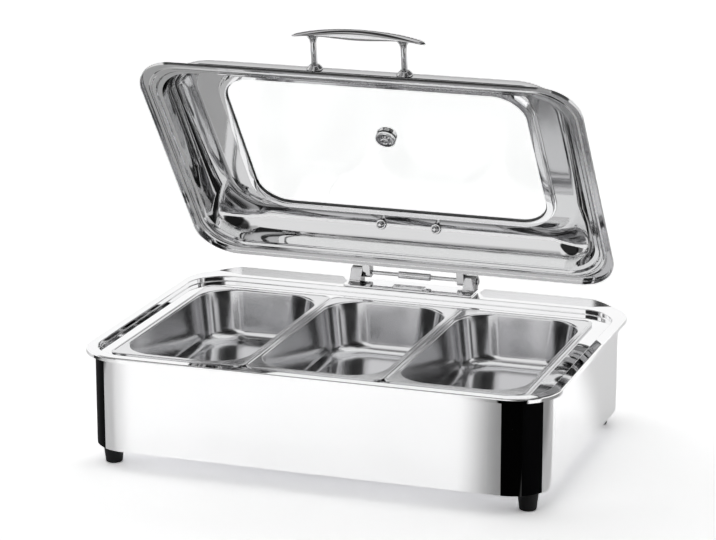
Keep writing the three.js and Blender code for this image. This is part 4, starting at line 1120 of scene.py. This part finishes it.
# Steam vent. A bored bushing clamps a cap outside and a nut inside on the glass, off the
# middle of the window. All three are turned and chromed.
vent_x = 4 * MM
vent_setback = 212.7 * MM
vent_bore = 3.2 * MM
vent_tube = 5.6 * MM
vent_radius = 13 * MM
vent_round = 1.6 * MM
vent_cap_height = 6 * MM
vent_nut_height = 4 * MM
cap_low = glass_top + fit_gap
cap_top = cap_low + vent_cap_height
nut_top = glass_low - fit_gap
nut_low = nut_top - vent_nut_height
vent_place = opened @ Matrix.Translation((vent_x, lid_rear - vent_setback, 0))
vent_cap = turned("steam_vent_cap", [
    (vent_tube, cap_low),
    (vent_radius, cap_low),
    *arc(vent_radius - vent_round, cap_top - vent_round, vent_round, 0, 90, 6),
    (vent_tube, cap_top),
], bored=True)
settle(vent_cap, vent_place, "lid", "hardware_steel", chrome, "vent_cap")

# The nut is sunk round the bushing and slopes up to its face.
sink_depth = 1.2 * MM
sink_width = 1.6 * MM
slope_end = 2.4 * MM
face_rise = 0.3 * MM
vent_nut = turned("steam_vent_nut", [
    (vent_tube, nut_low + sink_depth),
    (vent_tube + sink_width, nut_low + sink_depth),
    (vent_tube + slope_end, nut_low + face_rise),
    *arc(vent_radius - vent_round, nut_low + vent_round, vent_round, -90, 0, 6),
    (vent_radius, nut_top),
    (vent_tube, nut_top),
], bored=True)
settle(vent_nut, vent_place, "lid", "hardware_steel", chrome, "vent_nut")

bushing_drop = 2.4 * MM
bore_edge = 0.5 * MM
tube_edge = 0.6 * MM
collar_radius = 9.5 * MM
collar_height = 2.2 * MM
collar_round = 0.8 * MM
bushing_low = nut_low - bushing_drop
collar_low = cap_top + fit_gap
collar_top = collar_low + collar_height
bushing = turned("steam_vent_bushing", [
    (vent_bore, bushing_low + bore_edge),
    (vent_bore + bore_edge, bushing_low),
    (vent_tube - tube_edge, bushing_low),
    (vent_tube, bushing_low + tube_edge),
    (vent_tube, collar_low),
    (collar_radius, collar_low),
    *arc(collar_radius - collar_round, collar_top - collar_round, collar_round, 0, 90, 4),
    (vent_bore + bore_edge, collar_top),
    (vent_bore, collar_top - bore_edge),
], bored=True)
settle(bushing, vent_place, "lid", "hardware_steel", chrome, "vent_bushing")


# Hinge, moving half. All of it is chromed: a shaft through both posts' eyes, a sleeve on its
# middle, and two arms from the shaft to a plate that two bolts with domed nuts hold on the
# lid's rear wall.
for node in ("hinge_arm_left", "hinge_arm_right", "hinge_lid_plate"):
    refined(node, "lid", chrome, hinge_edge, edge_segments)
shaft_radius = 2.5 * MM
shaft_head = 4.4 * MM
shaft_head_round = 0.7 * MM
shaft_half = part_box("hinge_shaft")[1].x
head_depth = 2 * MM
head_start = shaft_half - head_depth
round_radius = shaft_head - shaft_head_round
round_start = shaft_half - shaft_head_round
shaft_place = Matrix.Translation(pivot) @ Matrix.Rotation(math.pi / 2, 4, "Y")
shaft = turned("polished_hinge_shaft", [
    *arc(round_radius, -round_start, shaft_head_round, -90, 0, 4),
    (shaft_head, -head_start),
    (shaft_radius, -head_start),
    (shaft_radius, head_start),
    (shaft_head, head_start),
    *arc(round_radius, round_start, shaft_head_round, 0, 90, 4),
], sides=40)
settle(shaft, shaft_place, "lid", "hardware_steel", chrome, "hinge_shaft")
sleeve_half = 22 * MM
sleeve_radius = 4.6 * MM
sleeve_edge = 0.5 * MM
sleeve_gap = 0.1 * MM
sleeve = turned("hinge_shaft_sleeve", [
    (shaft_radius + sleeve_gap, -sleeve_half),
    (sleeve_radius - sleeve_edge, -sleeve_half),
    (sleeve_radius, -sleeve_half + sleeve_edge),
    (sleeve_radius, sleeve_half - sleeve_edge),
    (sleeve_radius - sleeve_edge, sleeve_half),
    (shaft_radius + sleeve_gap, sleeve_half),
], sides=40, bored=True)
settle(sleeve, shaft_place, "lid", "hardware_steel", chrome, "hinge_sleeve")


def wall_frame(degrees, side):
    """A frame on the lid's domed wall, its Z along the outward normal: side -1 is the front."""
    inset, height = dome_pair(degrees)
    out, up = dome_normal(degrees)
    tilt = math.pi / 2 - math.atan2(up, out)
    edge = lid_front if side < 0 else lid_rear
    return (
        opened
        @ Matrix.Translation((0, edge - side * inset, height))
        @ Matrix.Rotation(tilt if side < 0 else -tilt, 4, "X")
    )


bolt_degrees = 57
bolt_frame = wall_frame(bolt_degrees, 1)
bolt_x = 37.5 * MM
bolt_radius = 2.5 * MM
bolt_seat = 3.1 * MM
bolt_head_radius = 5 * MM
bolt_head_side = 0.8 * MM
bolt_head_rise = 2.2 * MM
nut_seat = -2.3 * MM
nut_flange_radius = 6.6 * MM
nut_flange_narrowing = 0.4 * MM
nut_flange_side = 0.9 * MM
nut_flange_height = 1.2 * MM
nut_radius = 4.6 * MM
nut_side = 3.4 * MM
nut_dome_rise = 4 * MM
for side, turn in (("left", -1), ("right", 1)):
    at = bolt_frame @ Matrix.Translation((turn * bolt_x, 0, 0))
    bolt = turned(f"domed_hinge_bolt_{side}", [
        (bolt_radius, nut_seat),
        (bolt_radius, bolt_seat),
        (bolt_head_radius, bolt_seat),
        (bolt_head_radius, bolt_seat + bolt_head_side),
        *dome(bolt_head_radius, bolt_seat + bolt_head_side, bolt_head_rise),
    ], sides=36)
    settle(bolt, at, "lid", "hardware_steel", chrome, f"hinge_bolt_{side}")
    nut = turned(f"domed_cap_nut_{side}", [
        (nut_flange_radius, nut_seat),
        (nut_flange_radius, nut_seat - nut_flange_side),
        (nut_flange_radius - nut_flange_narrowing, nut_seat - nut_flange_height),
        (nut_radius, nut_seat - nut_flange_height),
        (nut_radius, nut_seat - nut_side),
        *dome(nut_radius, nut_seat - nut_side, -nut_dome_rise),
    ], sides=36)
    settle(nut, at, "lid", "hardware_steel", chrome, f"hinge_cap_nut_{side}")


# Handle. A cast and chromed bar, arched and swelling under its middle, on two flared posts
# with disc feet, screwed to the lid's front wall from inside.
handle_degrees = 36.6
handle_frame = wall_frame(handle_degrees, -1)
handle_x = 58 * MM
bar_half = 86 * MM
bar_end_top = 42.4 * MM
bar_arch = 11.2 * MM
bar_end_depth = 2.5 * MM
bar_belly = 10.3 * MM
belly_power = 2.3
bar_half_width = 9.5 * MM
bar_narrowing = 0.5
bar_end_share = 0.25
bar_stations = 44
bar_sides = 28


def bar_top(share):
    return bar_end_top + bar_arch * (1 - share * share)


def bar_depth(share):
    return bar_end_depth + bar_belly * (1 - share * share) ** belly_power


bar = start_mesh("arched_handle_bar")
for number in range(bar_stations + 1):
    share = 2 * number / bar_stations - 1
    fullness = bar_end_share if number in (0, bar_stations) else 1
    depth = bar_depth(share) * fullness
    half_width = bar_half_width * (1 - bar_narrowing * share ** 4) * fullness
    centre = Vector((share * bar_half, 0, bar_top(share) - bar_depth(share) / 2))
    bpy.ops.mesh.select_all(action="DESELECT")
    bpy.ops.mesh.primitive_circle_add(
        vertices=bar_sides, radius=1, fill_type="NOTHING", location=(0, 0, 0)
    )
    mesh = bmesh.from_edit_mesh(bar.data)
    mesh.verts.ensure_lookup_table()
    for vertex in mesh.verts[-bar_sides:]:
        vertex.co = centre + Vector((0, vertex.co.x * half_width, vertex.co.y * depth / 2))
    bmesh.update_edit_mesh(bar.data)
    if number:
        bridge(bar, (number - 1) * bar_sides, number * bar_sides, bar_sides)
cap(bar, 0, bar_sides)
cap(bar, bar_stations * bar_sides, bar_sides)
finish_mesh(bar)
settle(bar, handle_frame, "lid", "handle_steel", chrome, "handle_bar")

foot_top_z = 5.7 * MM
post_radius = 3.7 * MM
post_share = handle_x / bar_half
post_top = bar_top(post_share) - bar_depth(post_share) / 2
flare_drop = 12.5 * MM
flare_low = post_top - flare_drop
flare_height = 11 * MM
flare_spread = 4.7 * MM
flare_steps = 10
disc_gap = 0.3 * MM
disc_bore = 2.5 * MM
disc_radius = 10 * MM
disc_edge = 1.1 * MM
disc_neck = 5.4 * MM
disc_cove = ((9.7, 1.6), (8.2, 3.1), (6.9, 4.6), (6.2, 5.3))
screw_radius = 2.2 * MM
screw_seat = -1.8 * MM
pan_head_radius = 4.4 * MM
pan_head_side = 1 * MM
pan_head_crown = ((3.6, -3.8), (2, -4.2))


def flare_pair(share):
    return (post_radius + flare_spread * share ** 2, flare_low + flare_height * share)


for side, turn in (("left", -1), ("right", 1)):
    at = handle_frame @ Matrix.Translation((turn * handle_x, 0, 0))
    post = turned(f"flared_handle_post_{side}", [
        (post_radius, foot_top_z),
        (post_radius, flare_low),
        *[flare_pair(i / flare_steps) for i in range(1, flare_steps + 1)],
    ], sides=40)
    settle(post, at, "lid", "handle_steel", chrome, f"handle_post_{side}")
    disc = turned(f"handle_disc_foot_{side}", [
        (disc_bore, disc_gap),
        (disc_radius, disc_gap),
        (disc_radius, disc_edge),
        *[(radius * MM, height * MM) for radius, height in disc_cove],
        (disc_neck, foot_top_z),
        (disc_bore, foot_top_z),
    ], bored=True)
    settle(disc, at, "lid", "handle_steel", chrome, f"handle_foot_{side}")
    screw = turned(f"handle_pan_screw_{side}", [
        (screw_radius, foot_top_z),
        (screw_radius, screw_seat),
        (pan_head_radius, screw_seat),
        (pan_head_radius, screw_seat - pan_head_side),
        *[(radius * MM, height * MM) for radius, height in pan_head_crown],
    ], sides=32)
    settle(screw, at, "lid", "hardware_steel", chrome, f"handle_screw_{side}")


# Controls. On the rear panel are the thermostat's knob with its painted line, a red pilot lamp
# and a flanged mains inlet with three flat pins, moulded in plastic round their metal parts.
control_edge = 0.4 * MM
knob_edge = 0.3 * MM
small_edge = 0.2 * MM
refined("thermostat_body", "base", control_plastic, control_edge)
refined("power_inlet", "base", control_plastic, control_edge)
knob_plastic = finish(
    "black_knob_plastic", (0.014, 0.014, 0.015), 0, 0.45, 900, 0.03 * MM, specular=0.4
)
refined("thermostat_knob", "knob", knob_plastic, knob_edge)
refined("thermostat_spindle", "knob", satin_sheet, small_edge)
pointer_paint = finish("white_pointer_paint", (0.78, 0.78, 0.76), 0, 0.4, 900, 0.01 * MM)
pointer_width = 1.8 * MM
pointer_length = 11 * MM
pointer_height = 0.4 * MM
pointer_offset = 2 * MM
pointer_size = (pointer_width, 2 * pointer_height, pointer_length)
knob_low, knob_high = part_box("thermostat_knob")
knob_middle = (knob_low + knob_high) / 2
pointer = start_mesh("knob_pointer_line")
bpy.ops.mesh.primitive_cube_add(size=1, location=(0, 0, 0))
bpy.ops.transform.resize(value=pointer_size, center_override=(0, 0, 0))
bpy.ops.mesh.bevel(offset=pointer_height / 2, segments=2, affect="EDGES")
finish_mesh(pointer)
pointer_z = knob_middle.z + pointer_offset + pointer_length / 2
pointer_place = Matrix.Translation((knob_middle.x, knob_high.y, pointer_z))
settle(pointer, pointer_place, "knob", "knob_plastic", pointer_paint)
lens = finish("red_lens", (0.55, 0.03, 0.015), 0, 0.15, 120, 0.05 * MM)
refined("indicator_lamp", "base", lens, small_edge)
